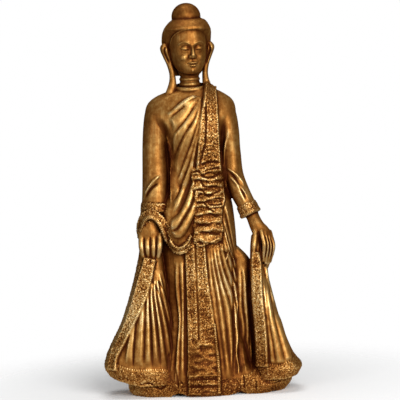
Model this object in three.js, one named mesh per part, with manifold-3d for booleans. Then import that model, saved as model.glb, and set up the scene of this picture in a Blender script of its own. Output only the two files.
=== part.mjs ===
// A carved and gilded wooden statuette of a standing Buddha, 500 mm tall, holding out the edges of his robe.
// Millimetres. X runs to the viewer's right, Y away from the viewer, Z up. The origin is on the surface that
// the statuette stands on, under its middle. "Right" and "left" are the figure's own sides: right is at -X.
import * as THREE from "three";
import Module from "manifold-3d";

const wasm = await Module();
wasm.setup();

// Driving dimensions
const HEIGHT = 500;
const CHIN_Z = 410;
const HAIRLINE_Z = 467;
const COLLAR_Z = 389;
const HEAD_TURN_DEG = 7;
const RIGHT = -1;
const LEFT = 1;
const FRONT = -1;
const BACK = 1;

// Upright forms. Every row is a height, then the left edge, right edge, front and back of the section there.
const ROBE_POWER = 2.3;
const ROBE = [
  [0, -72, 76, -53, 38],
  [25, -70, 73, -51, 36],
  [50, -64, 66, -47, 34],
  [100, -56, 57, -42, 31],
  [150, -50, 53, -39, 29],
  [200, -46, 52, -38, 28],
  [236, -40, 49.5, -36, 25],
  [273, -36, 43, -34, 23],
  [311, -34.5, 40.5, -35, 24],
  [335, -43, 46, -36, 25],
  [350, -53, 53, -34, 25],
  [360, -59.5, 58, -31, 24],
  [368, -58, 57, -28, 22],
  [376, -53, 53, -24, 20],
  [383, -42.5, 44, -20.5, 17],
  [388, -29, 35, -17.5, 15],
  [391, -20, 26, -15, 13],
];
const HEM_POWER = 2.5;
const HEM = [
  [0, -88, 106, -50.5, 39],
  [4, -94, 111, -52, 41],
  [13, -95, 117, -51.5, 40],
  [22, -91, 116, -49, 38],
  [28, -84, 104, -47, 37],
  [40, -66, 70, -42, 32],
];
const HEM_WAVE_LENGTH = 86;
const HEM_WAVE_DEPTH = 4;
const FLARE_POWER = 2.8;
const RIGHT_FLARE = [
  [16, -118, -31, -51, 20],
  [32, -124.5, -31, -52, 21],
  [50, -123, -33, -50, 19],
  [64, -117, -34, -49, 17],
  [94, -101.5, -36, -46, 12],
  [124, -90.5, -39, -43, 7],
  [150, -82.5, -41, -40, 2],
  [180, -75, -45, -37, -10],
  [198, -72, -49, -35, -19],
];
const RIGHT_FLARE_LIFT = 12.5;
const LEFT_FLARE = [
  [18, 68, 124, -49, 20],
  [29, 68, 130.2, -50, 21],
  [40, 68, 124, -48, 19],
  [55, 69, 117, -47, 16],
  [86, 69, 105.5, -45, 11],
  [117, 68, 93.3, -43, 6],
  [156, 68, 85, -41, -6],
  [184, 69, 84, -39, -15],
  [202, 71, 83, -36, -21],
];
const LEFT_FLARE_LIFT = 4;
const WEB_POWER = 3;
const WEB = [
  [8, 44, 78, -28, 16],
  [60, 42, 76, -25, 14],
  [120, 42, 74, -23, 10],
  [162, 40, 72, -21, 6],
  [173, 40, 66, -20, 3],
  [186, 40, 54, -18, 1],
];
const OVERFOLD_POWER = 2.6;
const OVERFOLD = [
  [184, -25, -17, -41, -20],
  [190, -31, -9, -42.5, -15],
  [200, -36, -3, -43, -12],
  [215, -42, 1, -42.5, -10],
  [235, -42, 5, -40, -8],
  [256, -34, 7, -36, -8],
  [272, -30, 8, -29, -8],
];
const MOUTH_POWER = 2.4;
const SLEEVE_MOUTH = [
  [198, -70, -52, -24, -2],
  [204, -72.5, -48, -27, 3],
  [218, -72.5, -40, -29.5, 5],
  [232, -71, -34, -32, 5],
  [243, -68, -32, -30, 3],
];

// Limbs. Every row is a point on the middle line, then the half width across it and the half depth.
const RIGHT_SLEEVE = [
  [-41, -1, 370, 10, 14],
  [-44, -2.5, 356, 16.5, 21],
  [-46.5, -4, 338, 16.5, 20.5],
  [-48, -6, 314, 16.7, 18.5],
  [-48.5, -10, 280, 17.5, 18],
  [-49.7, -14, 250, 18, 18],
  [-51, -16, 235, 18.7, 18],
];
const LEFT_SLEEVE = [
  [38, -1, 370, 9, 14],
  [42.5, -2.5, 355, 16, 20.5],
  [46.5, -4, 335, 14.7, 19.5],
  [49.5, -5, 307, 12.7, 17],
  [51.5, -7, 278, 13.2, 17],
  [59.2, -12, 256, 12.6, 16],
  [69, -17, 236, 11.6, 14],
];
const RIGHT_CUFF = [
  [-49.4, -14.2, 247, 18.4, 18.8],
  [-49.5, -14.3, 245.5, 19.6, 20.2],
  [-50.4, -15.8, 236, 20, 20.4],
  [-50.6, -16, 234.5, 18.6, 19],
];
const LEFT_CUFF = [
  [63.4, -14.4, 246.6, 13.2, 15],
  [64.2, -14.8, 245, 14.4, 16.2],
  [70.2, -17.6, 232.2, 14.2, 16],
  [71, -18, 230.4, 15.8, 17],
  [72.2, -18.4, 227.4, 14.8, 16],
];
const RIGHT_PALM = [
  [-53, -19, 236, 11, 8],
  [-55, -23, 226, 11.5, 9],
  [-58.5, -27, 214, 14, 9],
  [-59.5, -29, 204, 14.5, 7.5],
  [-58.8, -30.5, 190, 13.6, 8.2],
  [-59, -33, 177, 10, 4],
];
const RIGHT_THUMB = [
  [-48, -26, 217, 3, 3],
  [-44, -31, 206, 3.8, 3.8],
  [-43.5, -33.5, 194, 3.6, 3.6],
  [-45, -33.5, 181, 2.4, 2.6],
];
const LEFT_PALM = [
  [71, -17, 234, 9, 8],
  [74, -20, 224, 8.4, 7.8],
  [78, -26, 213, 9.4, 8],
  [83.5, -30, 202, 10.8, 7.8],
  [87, -29, 192, 10.6, 6],
  [88, -24, 172, 8.5, 6],
  [86, -20, 158, 5, 4.5],
];
const LEFT_THUMB = [
  [73, -24, 216, 2.6, 3],
  [71.5, -30, 203, 3.7, 3.8],
  [71, -35, 188, 3.5, 3.7],
  [72.5, -37, 174, 2.4, 2.6],
];
// The first and the last finger of each hand: knuckle, bend and tip
const RIGHT_FINGERS = {
  knuckles: [[-69, -30, 207], [-50, -32, 207]],
  bends: [[-69, -36, 193], [-50, -37, 193]],
  tips: [[-66, -33, 178], [-50.5, -35, 179]],
};
const LEFT_FINGERS = {
  knuckles: [[79, -34, 206], [91, -29, 202]],
  bends: [[82, -39, 188], [96.6, -32, 186]],
  tips: [[80.5, -34, 169], [93, -29, 170]],
};
const FINGERS = 4;
const FINGER_RADIUS = 3.8;

// The neck, with its three folds: height, half width, half depth
const NECK_X = 0;
const NECK = [
  [382, 16, 15],
  [391.5, 13.6, 13],
  [394.5, 15.2, 14.6],
  [397.5, 13.5, 12.9],
  [400.7, 14.8, 14.2],
  [404, 13.9, 12.8],
  [408, 15.6, 14],
  [416, 15.5, 15],
];
const COLLAR = { across: 19.5, deep: 17, thick: 3.2, drop: 3 };

// The head, made facing straight ahead about its own axis
const HEAD_X = -1.2;
const SKULL_POWER = 2.15;
const SKULL = [
  [CHIN_Z - 0.5, -7, 7, -21, -8],
  [CHIN_Z + 1.5, -10.5, 10.5, -24, 2],
  [CHIN_Z + 6, -14.5, 14.5, -25.5, 10],
  [CHIN_Z + 13, -18, 18, -26, 18],
  [CHIN_Z + 22, -21, 21, -26.6, 22],
  [CHIN_Z + 31, -22.6, 22.6, -26, 25],
  [CHIN_Z + 38, -23.4, 23.4, -26.8, 27],
  [CHIN_Z + 48, -23.2, 23.2, -26, 27],
  [HAIRLINE_Z, -20, 20, -22, 25],
];
const HAIR_POWER = 2.2;
const HAIR = [
  [414, -19, 19, 6, 24],
  [432, -26.5, 26.5, -2, 31],
  [442, -30.4, 30.4, -7, 33.5],
  [452, -32, 32, -15, 34],
  [460, -31.6, 32.2, -24, 33],
  [467, -29.6, 31, -28.5, 31],
  [473, -25.4, 28, -26, 27],
  [478, -20, 24, -20, 21],
  [481.5, -13, 15, -12, 13],
];
const HAIRLINE = [
  [-27, -9, 446], [-26.5, -14, 455], [-22, -20.5, 464], [-11, -26, 467.5], [0, -27.5, 468.5],
  [11, -26, 467.5], [22, -20.5, 464], [26.5, -14, 455], [27, -9, 446],
];
const BUN_RADIUS = 18.8;
const BUN_HALF_HEIGHT = 17.5;
const BUN_Y = 2;
const EYE_X = 9;
const EYE_Z = CHIN_Z + 33;
const BROW_Z = CHIN_Z + 38;
const NOSE_Z = CHIN_Z + 19;
const MOUTH_Z = CHIN_Z + 12.2;
const NOSE = [
  [0, -24, EYE_Z + 3, 2, 2],
  [0, -26.5, EYE_Z - 2, 2.2, 3],
  [0, -28.5, NOSE_Z + 7, 2.5, 3.2],
  [0, -30, NOSE_Z + 3, 3.8, 3.6],
  [0, -28.5, NOSE_Z - 0.3, 4, 3],
  [0, -26, NOSE_Z - 1, 2, 1.5],
];
// One ear; the other mirrors it
const EAR = [
  [29.4, 1, 448, 1.5, 3],
  [31, 2, 442, 3.3, 7.5],
  [25.2, 3, 431, 3, 6.2],
  [20.6, 1, 419, 2.7, 4.4],
  [20.2, -3, 407, 2.9, 4],
  [21.6, -5, 397, 3.9, 4],
  [25.6, -7, 388, 4.2, 4.2],
  [30, -8, 378, 4, 4.4],
];

// Pleated cloth. Every ridge is its rise, then its line as points of x and z. The ridges of a field lie side by
// side, each with a valley to the next.
const CHEST_PLEATS = [
  [2.4, [[9, 386], [-9, 371], [-31, 355]]],
  [3.4, [[15, 386], [0, 366], [-16, 350], [-30, 336]]],
  [3.4, [[16, 378], [3, 352], [-10, 326], [-26, 299]]],
  [3.2, [[16, 366], [6, 336], [-5, 305], [-18, 274], [-31, 247]]],
  [4.4, [[13, 346], [5, 317], [-2, 290], [-10, 262], [-20, 238], [-32, 222]]],
];
const OVERFOLD_PLEATS = [
  [3.2, [[-1, 282], [-8, 254], [-18, 230], [-33, 217]]],
  [3.8, [[3, 262], [-3, 238], [-12, 217], [-21, 207], [-33, 210]]],
];
const SKIRT_PLEATS = [
  [2.2, [[15, 196], [18, 158], [21, 120], [26, 69], [32, 12]]],
  [3, [[20, 200], [24, 152], [29, 107], [36, 62], [42, 12]]],
  [3.2, [[25, 206], [31, 160], [38, 119], [45, 66], [50, 12]]],
  [3.2, [[30, 214], [37, 170], [43, 132], [49, 90], [54, 30]]],
  [3, [[34, 230], [41, 194], [46, 160], [50, 125], [55, 80]]],
  [2.6, [[37, 248], [44, 214], [48, 182], [51, 150], [54, 120]]],
];
const UNDER_SKIRT_PLEATS = [
  [2.6, [[-20, 184], [-21, 140], [-21, 76], [-25, 12]]],
  [2.8, [[-25, 184], [-27, 140], [-30, 76], [-34, 12]]],
];
const RIGHT_FLARE_PLEATS = [
  [3, [[-63, 142], [-78, 99], [-91, 66], [-101, 42]]],
  [3.4, [[-60, 148], [-70, 96], [-79, 62], [-85, 38]]],
  [3.6, [[-57, 154], [-62, 96], [-66, 62], [-69, 34]]],
  [3.8, [[-54, 160], [-54, 96], [-54, 62], [-54, 31]]],
  [3.6, [[-51, 166], [-46, 108], [-42, 66], [-41, 28]]],
  [3, [[-48, 172], [-42, 128], [-37, 80], [-33, 24]]],
];
const LEFT_FLARE_PLEATS = [
  [3.4, [[83.5, 164], [87, 108], [92, 66], [94, 40]]],
  [3.6, [[85, 164], [92, 110], [101, 66], [106, 41]]],
  [3, [[87, 164], [97, 112], [109, 67], [117, 43]]],
];
const WEB_PLEATS = [
  [3.4, [[47, 168], [46, 132], [48, 100], [46, 62], [46, 10]]],
  [3.2, [[53, 170], [54, 132], [55, 96], [54, 60], [52, 10]]],
  [2.8, [[60, 168], [61, 130], [60, 92], [60, 50], [59, 10]]],
];
const BACK_PLEATS = [
  [3, [[24, 330], [6, 285], [-14, 240], [-36, 200]]],
  [3, [[28, 280], [18, 225], [0, 165], [-34, 100]]],
  [3, [[32, 220], [28, 150], [18, 80], [-4, 14]]],
];
const VALLEY_RISE = 0.2;
const RIM_DEPTH = 1;

// Single folds. Every row is a width and a rise, then the fold's line as points of x and z.
const ARM_SIDE_FOLD = [5, 2.4, [[44, 328], [38.5, 296], [38, 262], [44, 236]]];
const RIGHT_SLEEVE_FOLDS = [[7, 2, [[-64, 258], [-54, 273], [-43, 283]]]];
const LEFT_SLEEVE_FOLDS = [
  [6, 2.2, [[42, 290], [55, 279], [65, 264]]],
  [6, 2, [[46, 278], [57, 266], [67, 253]]],
];

// Flat raised borders: their lines as points of x and z, and their widths by share of the length
const BORDER_RISE = 3;
const SHOULDER_BORDER = [[25.5, 376], [24, 360], [23, 337], [22, 284]];
const SHOULDER_BORDER_WIDTHS = [[0, 17], [0.5, 23], [1, 27]];
const BACK_BORDER = [[24, 374], [26, 330], [28, 250], [30, 200]];
const BACK_BORDER_WIDTHS = [[0, 17], [1, 24]];
const RIGHT_PANEL = [[-8, 196], [-9.5, 134], [-10, 96], [-10, 62]];
const LEFT_PANEL = [[6, 198], [8, 133], [11, 95], [12, 62]];
const PANEL_WIDTHS = [[0, 14], [1, 16.5]];
const RIGHT_FLARE_BORDER = [[-60, 178], [-66, 160], [-77, 126], [-88, 99], [-99, 73], [-111, 48], [-113, 36]];
const RIGHT_FLARE_BORDER_WIDTHS = [[0, 15], [0.25, 19], [0.6, 16], [0.8, 14], [1, 16]];
const LEFT_FLARE_BORDER = [[76, 196], [75, 169], [76, 118], [79.5, 66], [78.5, 34]];
const LEFT_FLARE_BORDER_WIDTHS = [[0, 7], [0.2, 12], [1, 14]];

// The border goes over the left shoulder, and a trim goes round the right sleeve's mouth: points of x, y and z.
const SHOULDER_PASS = [
  [25, -27, 372], [25.5, -20, 382], [26, -11, 389], [26.5, 0, 391], [26, 10, 388.5], [25, 19, 380],
  [24, 22.5, 368],
];
const SHOULDER_PASS_WIDTHS = [[0, 17], [1, 17]];
const SHOULDER_MIDDLE = new THREE.Vector3(24, 0, 370);
const MOUTH_TRIM = [
  [-71, -17, 202], [-70.5, -25, 217], [-66, -33, 231], [-57, -37, 238], [-48, -38, 236.5], [-41, -38, 226],
  [-37.5, -37, 213],
];
const WRIST_MIDDLE = new THREE.Vector3(-52, -10, 222);
const OVERFOLD_TRIM = [[-38, 216], [-33, 202], [-26, 192.5], [-19, 189.5], [-11, 193.5], [-4, 206]];
const TRIM_WIDTHS = [[0, 8], [1, 8]];
const TRIM_RISE = 2.5;

// The gathered ends of the border: every row is a layer's height, left edge and right edge.
const WAIST_GATHER = [
  [292, 9, 35], [279, 0, 35], [265, 2, 35], [250, 3, 34], [236, 0, 32], [223, 2, 30], [210, -3, 34],
  [195, -2, 30],
];
const WAIST_GATHER_SIZES = { lip: 6, hollow: 2.6, sway: 1.6, count: 5 };
const FOOT_GATHER = [[68, -17, 20], [57, -15, 21.5], [46, -17, 21], [35, -15, 23], [24, -19, 24], [9, -18, 25]];
const FOOT_GATHER_SIZES = { lip: 5.2, hollow: 3.4, sway: 1.1, count: 4 };

// How deep a carved strip is sunk into the form under it
const SINK = 2.5;

// The values between the rows of a table, smooth and with no overshoot. The first value of a row is its place.
function between(rows, place) {
  const last = rows.length - 1;
  const at = THREE.MathUtils.clamp(place, rows[0][0], rows[last][0]);
  let i = 0;
  while (i < last - 1 && at > rows[i + 1][0]) i += 1;
  const slope = (k, j) => (rows[k + 1][j] - rows[k][j]) / (rows[k + 1][0] - rows[k][0]);
  const lean = (k, j) => {
    if (k === 0) return slope(0, j);
    if (k === last) return slope(last - 1, j);
    const before = slope(k - 1, j);
    const after = slope(k, j);
    return before * after <= 0 ? 0 : (2 * before * after) / (before + after);
  };
  const span = rows[i + 1][0] - rows[i][0];
  const u = (at - rows[i][0]) / span;
  return rows[i].slice(1).map((value, column) => {
    const j = column + 1;
    const rise = rows[i + 1][j] - value;
    const cubic = (lean(i, j) + lean(i + 1, j)) * span - 2 * rise;
    const square = 3 * rise - (2 * lean(i, j) + lean(i + 1, j)) * span;
    return value + u * (lean(i, j) * span + u * (square + u * cubic));
  });
}

const vector = (p) => new THREE.Vector3(...p);
const smoothCurve = (points, closed = false) => new THREE.CatmullRomCurve3(points, closed, "centripetal");
const steps = (from, to, count) => [...Array(count + 1).keys()].map((i) => from + ((to - from) * i) / count);
const around = (sides) => steps(0, 2 * Math.PI, sides).slice(0, -1);
const signedPower = (value, exponent) => Math.sign(value) * Math.abs(value) ** exponent;

// Angles round a section: the front half, where most of the carving is, can have more of them.
function aroundFrontAndBack(front, back) {
  return [...steps(Math.PI, 2 * Math.PI, front).slice(0, -1), ...steps(0, Math.PI, back).slice(0, -1)];
}

function manifoldOf(vertProperties, triVerts) {
  return new wasm.Manifold(new wasm.Mesh({ numProp: 3, vertProperties, triVerts }));
}

function geometryOf(made) {
  const { vertProperties, triVerts } = made.getMesh();
  const geometry = new THREE.BufferGeometry();
  geometry.setAttribute("position", new THREE.BufferAttribute(vertProperties, 3));
  geometry.setIndex(new THREE.BufferAttribute(triVerts, 1));
  return geometry;
}

// A solid from points and faces, with its faces turned outwards
function solid(points, faces) {
  const positions = new Float32Array(points.flatMap((p) => [p.x, p.y, p.z]));
  const made = manifoldOf(positions, new Uint32Array(faces));
  return made.volume() > 0 ? made : manifoldOf(positions, new Uint32Array(faces.reverse()));
}

// A closed solid through rings of points. A loop joins its last ring to its first, and any other has end caps.
function loft(rings, loop = false) {
  const count = rings[0].length;
  const points = rings.flat();
  const faces = [];
  const joins = loop ? rings.length : rings.length - 1;
  for (let i = 0; i < joins; i += 1) {
    const next = ((i + 1) % rings.length) * count;
    for (let j = 0; j < count; j += 1) {
      const a = i * count + j;
      const b = i * count + ((j + 1) % count);
      const c = next + ((j + 1) % count);
      const d = next + j;
      faces.push(a, b, c, a, c, d);
    }
  }
  if (!loop) {
    const top = (rings.length - 1) * count;
    const middle = (ring) => ring.reduce((sum, p) => sum.add(p), new THREE.Vector3()).divideScalar(count);
    for (let j = 0; j < count; j += 1) {
      const next = (j + 1) % count;
      faces.push(points.length, next, j, points.length + 1, top + j, top + next);
    }
    points.push(middle(rings[0]), middle(rings[rings.length - 1]));
  }
  return solid(points, faces);
}

// An upright form with rounded sections. skin gives its surface: the front one, or the back one.
function upright(rows, exponent, { push = () => 0, lift = () => 0 } = {}) {
  const ring = (z, angles) => {
    const [left, right, front, back] = between(rows, z);
    return angles.map((angle) => {
      const x = (left + right) / 2 + ((right - left) / 2) * signedPower(Math.cos(angle), 2 / exponent);
      const y = (front + back) / 2 + ((back - front) / 2) * signedPower(Math.sin(angle), 2 / exponent);
      return new THREE.Vector3(x, y + push(x, z) * Math.sin(angle), z + lift(x, z));
    });
  };
  return {
    body: (places, angles) => loft(places.map((z) => ring(z, angles))),
    skin: (facing) => (x, z) => {
      const [left, right, front, back] = between(rows, z);
      const across = Math.min(Math.abs((2 * x - left - right) / (right - left)), 0.97);
      return (front + back) / 2 + facing * ((back - front) / 2) * (1 - across ** exponent) ** (1 / exponent);
    },
  };
}

// A rounded limb along a middle line. Its skin is the front surface of a limb that is near enough upright.
function limb(rows, sides, stepsPerRow = 1) {
  const line = smoothCurve(rows.map((row) => vector(row)));
  const sizes = rows.map((row, i) => [i, row[3], row[4]]);
  const rings = steps(0, 1, (rows.length - 1) * stepsPerRow).map((t) => {
    const [across, deep] = between(sizes, t * (rows.length - 1));
    const along = line.getTangent(t);
    const forward = new THREE.Vector3(0, FRONT, 0).addScaledVector(along, along.y).normalize();
    const side = new THREE.Vector3().crossVectors(forward, along);
    return around(sides).map((angle) => line.getPoint(t)
      .addScaledVector(side, across * Math.cos(angle))
      .addScaledVector(forward, deep * Math.sin(angle)));
  });
  const byHeight = rows.map(([x, y, z, across, deep]) => [z, x, y, across, deep]).sort((a, b) => a[0] - b[0]);
  return {
    body: loft(rings),
    skin: (x, z) => {
      const [middle, y, across, deep] = between(byHeight, z);
      const share = Math.min(Math.abs((x - middle) / across), 0.95);
      return y - deep * Math.sqrt(1 - share * share);
    },
  };
}

// The outward direction of a skin at a place, by how its depth changes around it
function outwardOf(skin, { x, z }, facing) {
  const reach = 0.5;
  const slopeX = (skin(x + reach, z) - skin(x - reach, z)) / (2 * reach);
  const slopeZ = (skin(x, z + reach) - skin(x, z - reach)) / (2 * reach);
  return new THREE.Vector3(-slopeX * facing, facing, -slopeZ * facing).normalize();
}

// The point at a height over a skin
function raised(skin, place, height, facing) {
  const foot = new THREE.Vector3(place.x, skin(place.x, place.z), place.z);
  return foot.addScaledVector(outwardOf(skin, place, facing), height);
}

// A line carved on a surface. It follows points of x and z, and takes its depth and outward side from the skin.
function carvedLine(skin, points, facing = FRONT) {
  const curve = smoothCurve(points.map(([x, z]) => new THREE.Vector3(x, 0, z)));
  return (t) => {
    const at = curve.getPoint(t);
    return { point: raised(skin, at, 0, facing), along: curve.getTangent(t), out: outwardOf(skin, at, facing) };
  };
}

// A line through points in space that faces away from a middle point or, with none given, from the upright axis
function freeLine(points, middle) {
  const curve = smoothCurve(points.map(vector));
  return (t) => {
    const point = curve.getPoint(t);
    const out = middle ? point.clone().sub(middle) : new THREE.Vector3(point.x, point.y, 0);
    return { point, along: curve.getTangent(t), out: out.normalize() };
  };
}

// A strip along a line. section(t) is a list of points across the line and outward from its surface.
function strip(line, count, section) {
  return loft(steps(0, 1, count).map((t) => {
    const { point, along, out } = line(t);
    const across = new THREE.Vector3().crossVectors(along, out).normalize();
    return section(t).map(([a, o]) => point.clone().addScaledVector(across, a).addScaledVector(out, o));
  }));
}

// A rolled fold of cloth. Its width and rise swell along its length and die away at its ends.
function fold(line, width, rise, { count, start = 0.35, end = 0.4 }) {
  const swell = [
    [0, start, 0.2],
    [0.2, (1 + start) / 2, 1],
    [0.55, 1, 1],
    [0.85, (1 + end) / 2, 1],
    [1, end, 0.15],
  ];
  return strip(line, count, (t) => {
    const [wide, high] = between(swell, t);
    const half = (width / 2) * wide;
    const top = rise * high;
    return [[-half, -SINK], [-half * 0.35, top], [half * 0.35, top * 0.9], [half, -SINK]];
  });
}

function folds(skin, rows) {
  return rows.map(([width, rise, points]) => fold(carvedLine(skin, points), width, rise, { count: 4 }));
}

// A field of pleats on a skin. Its rim dives under the surface, and its flat back lies inside the form.
function pleats(skin, rows, { count, facing = FRONT, margin = 3, broad = true }) {
  const curves = rows.map(([, points]) => smoothCurve(points.map(([x, z]) => new THREE.Vector3(x, 0, z))));
  const swell = [[0, -0.3], [0.14, 0.8], [0.4, 1], [0.88, 0.9], [1, -0.3]];
  return loft(steps(0, 1, count).map((t) => {
    const crests = curves.map((curve) => curve.getPoint(t));
    const last = crests.length - 1;
    const full = between(swell, t)[0];
    const beyond = (from, to) => to.clone().add(to.clone().sub(from).setLength(margin));
    const rims = [beyond(crests[1], crests[0]), beyond(crests[last - 1], crests[last])];
    const valleys = crests.slice(1).map((crest, i) => crest.clone().lerp(crests[i], 0.5));
    const bounds = [rims[0], ...valleys, rims[1]];
    const section = [raised(skin, rims[0], -RIM_DEPTH, facing)];
    crests.forEach((crest, i) => {
      const rise = rows[i][0] * full;
      if (broad) section.push(raised(skin, crest.clone().lerp(bounds[i], 0.36), rise * 0.9, facing));
      section.push(raised(skin, broad ? crest.clone().lerp(bounds[i + 1], 0.3) : crest, rise, facing));
      section.push(raised(skin, bounds[i + 1], i < last ? VALLEY_RISE : -RIM_DEPTH, facing));
    });
    const back = [rims[1], rims[0]].map((rim) => raised(skin, rim, -SINK - RIM_DEPTH, facing));
    return [...section, ...back];
  }));
}

// A flat raised border with sloping edges
function border(line, widths, rise, count) {
  return strip(line, count, (t) => {
    const half = between(widths, t)[0] / 2;
    return [[-half, -SINK], [-half + 0.8, rise], [half - 0.8, rise], [half, -SINK]];
  });
}

// Gathered cloth: layers that hang over each other, each hollow above and full at its wavy lower lip
function gather(skin, rows, { lip, hollow, sway, count }) {
  const ring = ([, left, right], z, rise, turn) => {
    const front = steps(0, 1, count).map((share) => {
      const wave = sway * turn * Math.sin(2 * Math.PI * (share + 0.12));
      const full = 0.72 + 0.28 * Math.sin(Math.PI * share);
      const place = new THREE.Vector3(THREE.MathUtils.lerp(left, right, share), 0, z + wave);
      return raised(skin, place, rise * full, FRONT);
    });
    const deep = [right, left].map((x) => raised(skin, new THREE.Vector3(x, 0, z), -SINK, FRONT));
    return [...front, ...deep];
  };
  return loft(rows.slice(1).flatMap((row, i) => {
    const above = rows[i];
    const turn = i % 2 ? 1 : -1;
    const edge = 0.12 * (above[0] - row[0]);
    return [ring(row, above[0] - edge, hollow, turn), ring(row, row[0] + edge, lip, turn)];
  }));
}

const robe = upright(ROBE, ROBE_POWER);
const rightFlare = upright(RIGHT_FLARE, FLARE_POWER, { lift: outerLift(-80, -123, RIGHT_FLARE_LIFT) });
const leftFlare = upright(LEFT_FLARE, FLARE_POWER, { lift: outerLift(105, 129, LEFT_FLARE_LIFT) });
const web = upright(WEB, WEB_POWER);
const overfold = upright(OVERFOLD, OVERFOLD_POWER);
const sleeveMouth = upright(SLEEVE_MOUTH, MOUTH_POWER);
const rightSleeve = limb(RIGHT_SLEEVE, 11);
const leftSleeve = limb(LEFT_SLEEVE, 11);
const front = (x, z) => Math.min(robe.skin(FRONT)(x, z), z > 184 ? overfold.skin(FRONT)(x, z) : 0);

// The outer corner of a held edge of the robe hangs higher than the rest of its hem.
function outerLift(from, to, height) {
  return (x, z) => {
    const share = THREE.MathUtils.clamp((x - from) / (to - from), 0, 1);
    return height * share * THREE.MathUtils.clamp(1 - (z - 16) / 34, 0, 1);
  };
}

// The under-robe's hem stands on the ground in deep waves.
function hem() {
  const wave = (x, z) => HEM_WAVE_DEPTH * Math.cos((2 * Math.PI * (x - 5)) / HEM_WAVE_LENGTH) * (1 - z / 40);
  return upright(HEM, HEM_POWER, { push: wave }).body([0, 4, 13, 22, 28, 40], aroundFrontAndBack(20, 8));
}

function robeForms() {
  const robeHeights = [0, 50, 100, 200, 236, 273, 311, 335, 350, 361, 370, 377, 384, 388, 391];
  return [
    robe.body(robeHeights, aroundFrontAndBack(14, 8)),
    hem(),
    rightFlare.body([16, 24, 32, 50, 64, 94, 150, 180, 198], aroundFrontAndBack(8, 6)),
    leftFlare.body([18, 24, 29, 40, 55, 86, 156, 184, 202], aroundFrontAndBack(6, 6)),
    web.body([8, 60, 120, 162, 173, 186], aroundFrontAndBack(6, 4)),
    overfold.body([184, 190, 200, 215, 235, 256, 272], aroundFrontAndBack(8, 2)),
    sleeveMouth.body([198, 204, 218, 232, 243], aroundFrontAndBack(8, 5)),
    rightSleeve.body,
    leftSleeve.body,
    limb(RIGHT_CUFF, 11).body,
    limb(LEFT_CUFF, 11).body,
  ];
}

function robeFolds() {
  return [
    pleats(front, CHEST_PLEATS, { count: 8 }),
    pleats(front, OVERFOLD_PLEATS, { count: 7 }),
    pleats(front, SKIRT_PLEATS, { count: 7, broad: false }),
    pleats(front, UNDER_SKIRT_PLEATS, { count: 5, broad: false }),
    pleats(rightFlare.skin(FRONT), RIGHT_FLARE_PLEATS, { count: 5 }),
    pleats(leftFlare.skin(FRONT), LEFT_FLARE_PLEATS, { count: 5 }),
    pleats(web.skin(FRONT), WEB_PLEATS, { count: 7, broad: false }),
    pleats(robe.skin(BACK), BACK_PLEATS, { count: 5, facing: BACK, margin: 8, broad: false }),
    ...folds(front, [ARM_SIDE_FOLD]),
    ...folds(rightSleeve.skin, RIGHT_SLEEVE_FOLDS),
    ...folds(leftSleeve.skin, LEFT_SLEEVE_FOLDS),
  ];
}

function robeBorders() {
  const rightFlareLine = carvedLine(rightFlare.skin(FRONT), RIGHT_FLARE_BORDER);
  const leftFlareLine = carvedLine(leftFlare.skin(FRONT), LEFT_FLARE_BORDER);
  return [
    border(carvedLine(front, SHOULDER_BORDER), SHOULDER_BORDER_WIDTHS, BORDER_RISE, 5),
    border(freeLine(SHOULDER_PASS, SHOULDER_MIDDLE), SHOULDER_PASS_WIDTHS, BORDER_RISE - 0.4, 5),
    border(carvedLine(robe.skin(BACK), BACK_BORDER, BACK), BACK_BORDER_WIDTHS, BORDER_RISE - 0.4, 4),
    border(carvedLine(front, RIGHT_PANEL), PANEL_WIDTHS, BORDER_RISE + 0.6, 4),
    border(carvedLine(front, LEFT_PANEL), PANEL_WIDTHS, BORDER_RISE - 0.2, 4),
    border(rightFlareLine, RIGHT_FLARE_BORDER_WIDTHS, BORDER_RISE + 0.4, 7),
    border(leftFlareLine, LEFT_FLARE_BORDER_WIDTHS, BORDER_RISE + 0.8, 5),
    border(freeLine(MOUTH_TRIM, WRIST_MIDDLE), TRIM_WIDTHS, TRIM_RISE, 8),
    border(carvedLine(front, OVERFOLD_TRIM), TRIM_WIDTHS, TRIM_RISE, 7),
    gather(front, WAIST_GATHER, WAIST_GATHER_SIZES),
    gather(front, FOOT_GATHER, FOOT_GATHER_SIZES),
  ];
}

function part(ends, share) {
  return new THREE.Vector3().lerpVectors(vector(ends[0]), vector(ends[1]), share);
}

// The middle fingers start and end a little further out than the outer ones, and all bend over the held cloth.
function fingers({ knuckles, bends, tips }) {
  return steps(0, 1, FINGERS - 1).map((share) => {
    const length = Math.sin(Math.PI * (0.15 + 0.7 * share));
    const knuckle = part(knuckles, share).add(new THREE.Vector3(0, 0, 2 * length));
    const bend = part(bends, share);
    const tip = part(tips, share).add(new THREE.Vector3(0, 0, -5 * length));
    const size = FINGER_RADIUS;
    return limb([
      [knuckle.x, knuckle.y + 3, knuckle.z + 5, size * 0.6, size * 0.6],
      [...knuckle.toArray(), size, size],
      [...bend.toArray(), size * 0.95, size * 0.95],
      [...tip.toArray(), size * 0.7, size * 0.8],
    ], 6).body;
  });
}

function hands() {
  return [
    limb(RIGHT_PALM, 10).body,
    limb(RIGHT_THUMB, 6).body,
    ...fingers(RIGHT_FINGERS),
    limb(LEFT_PALM, 10).body,
    limb(LEFT_THUMB, 6).body,
    ...fingers(LEFT_FINGERS),
  ];
}

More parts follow.
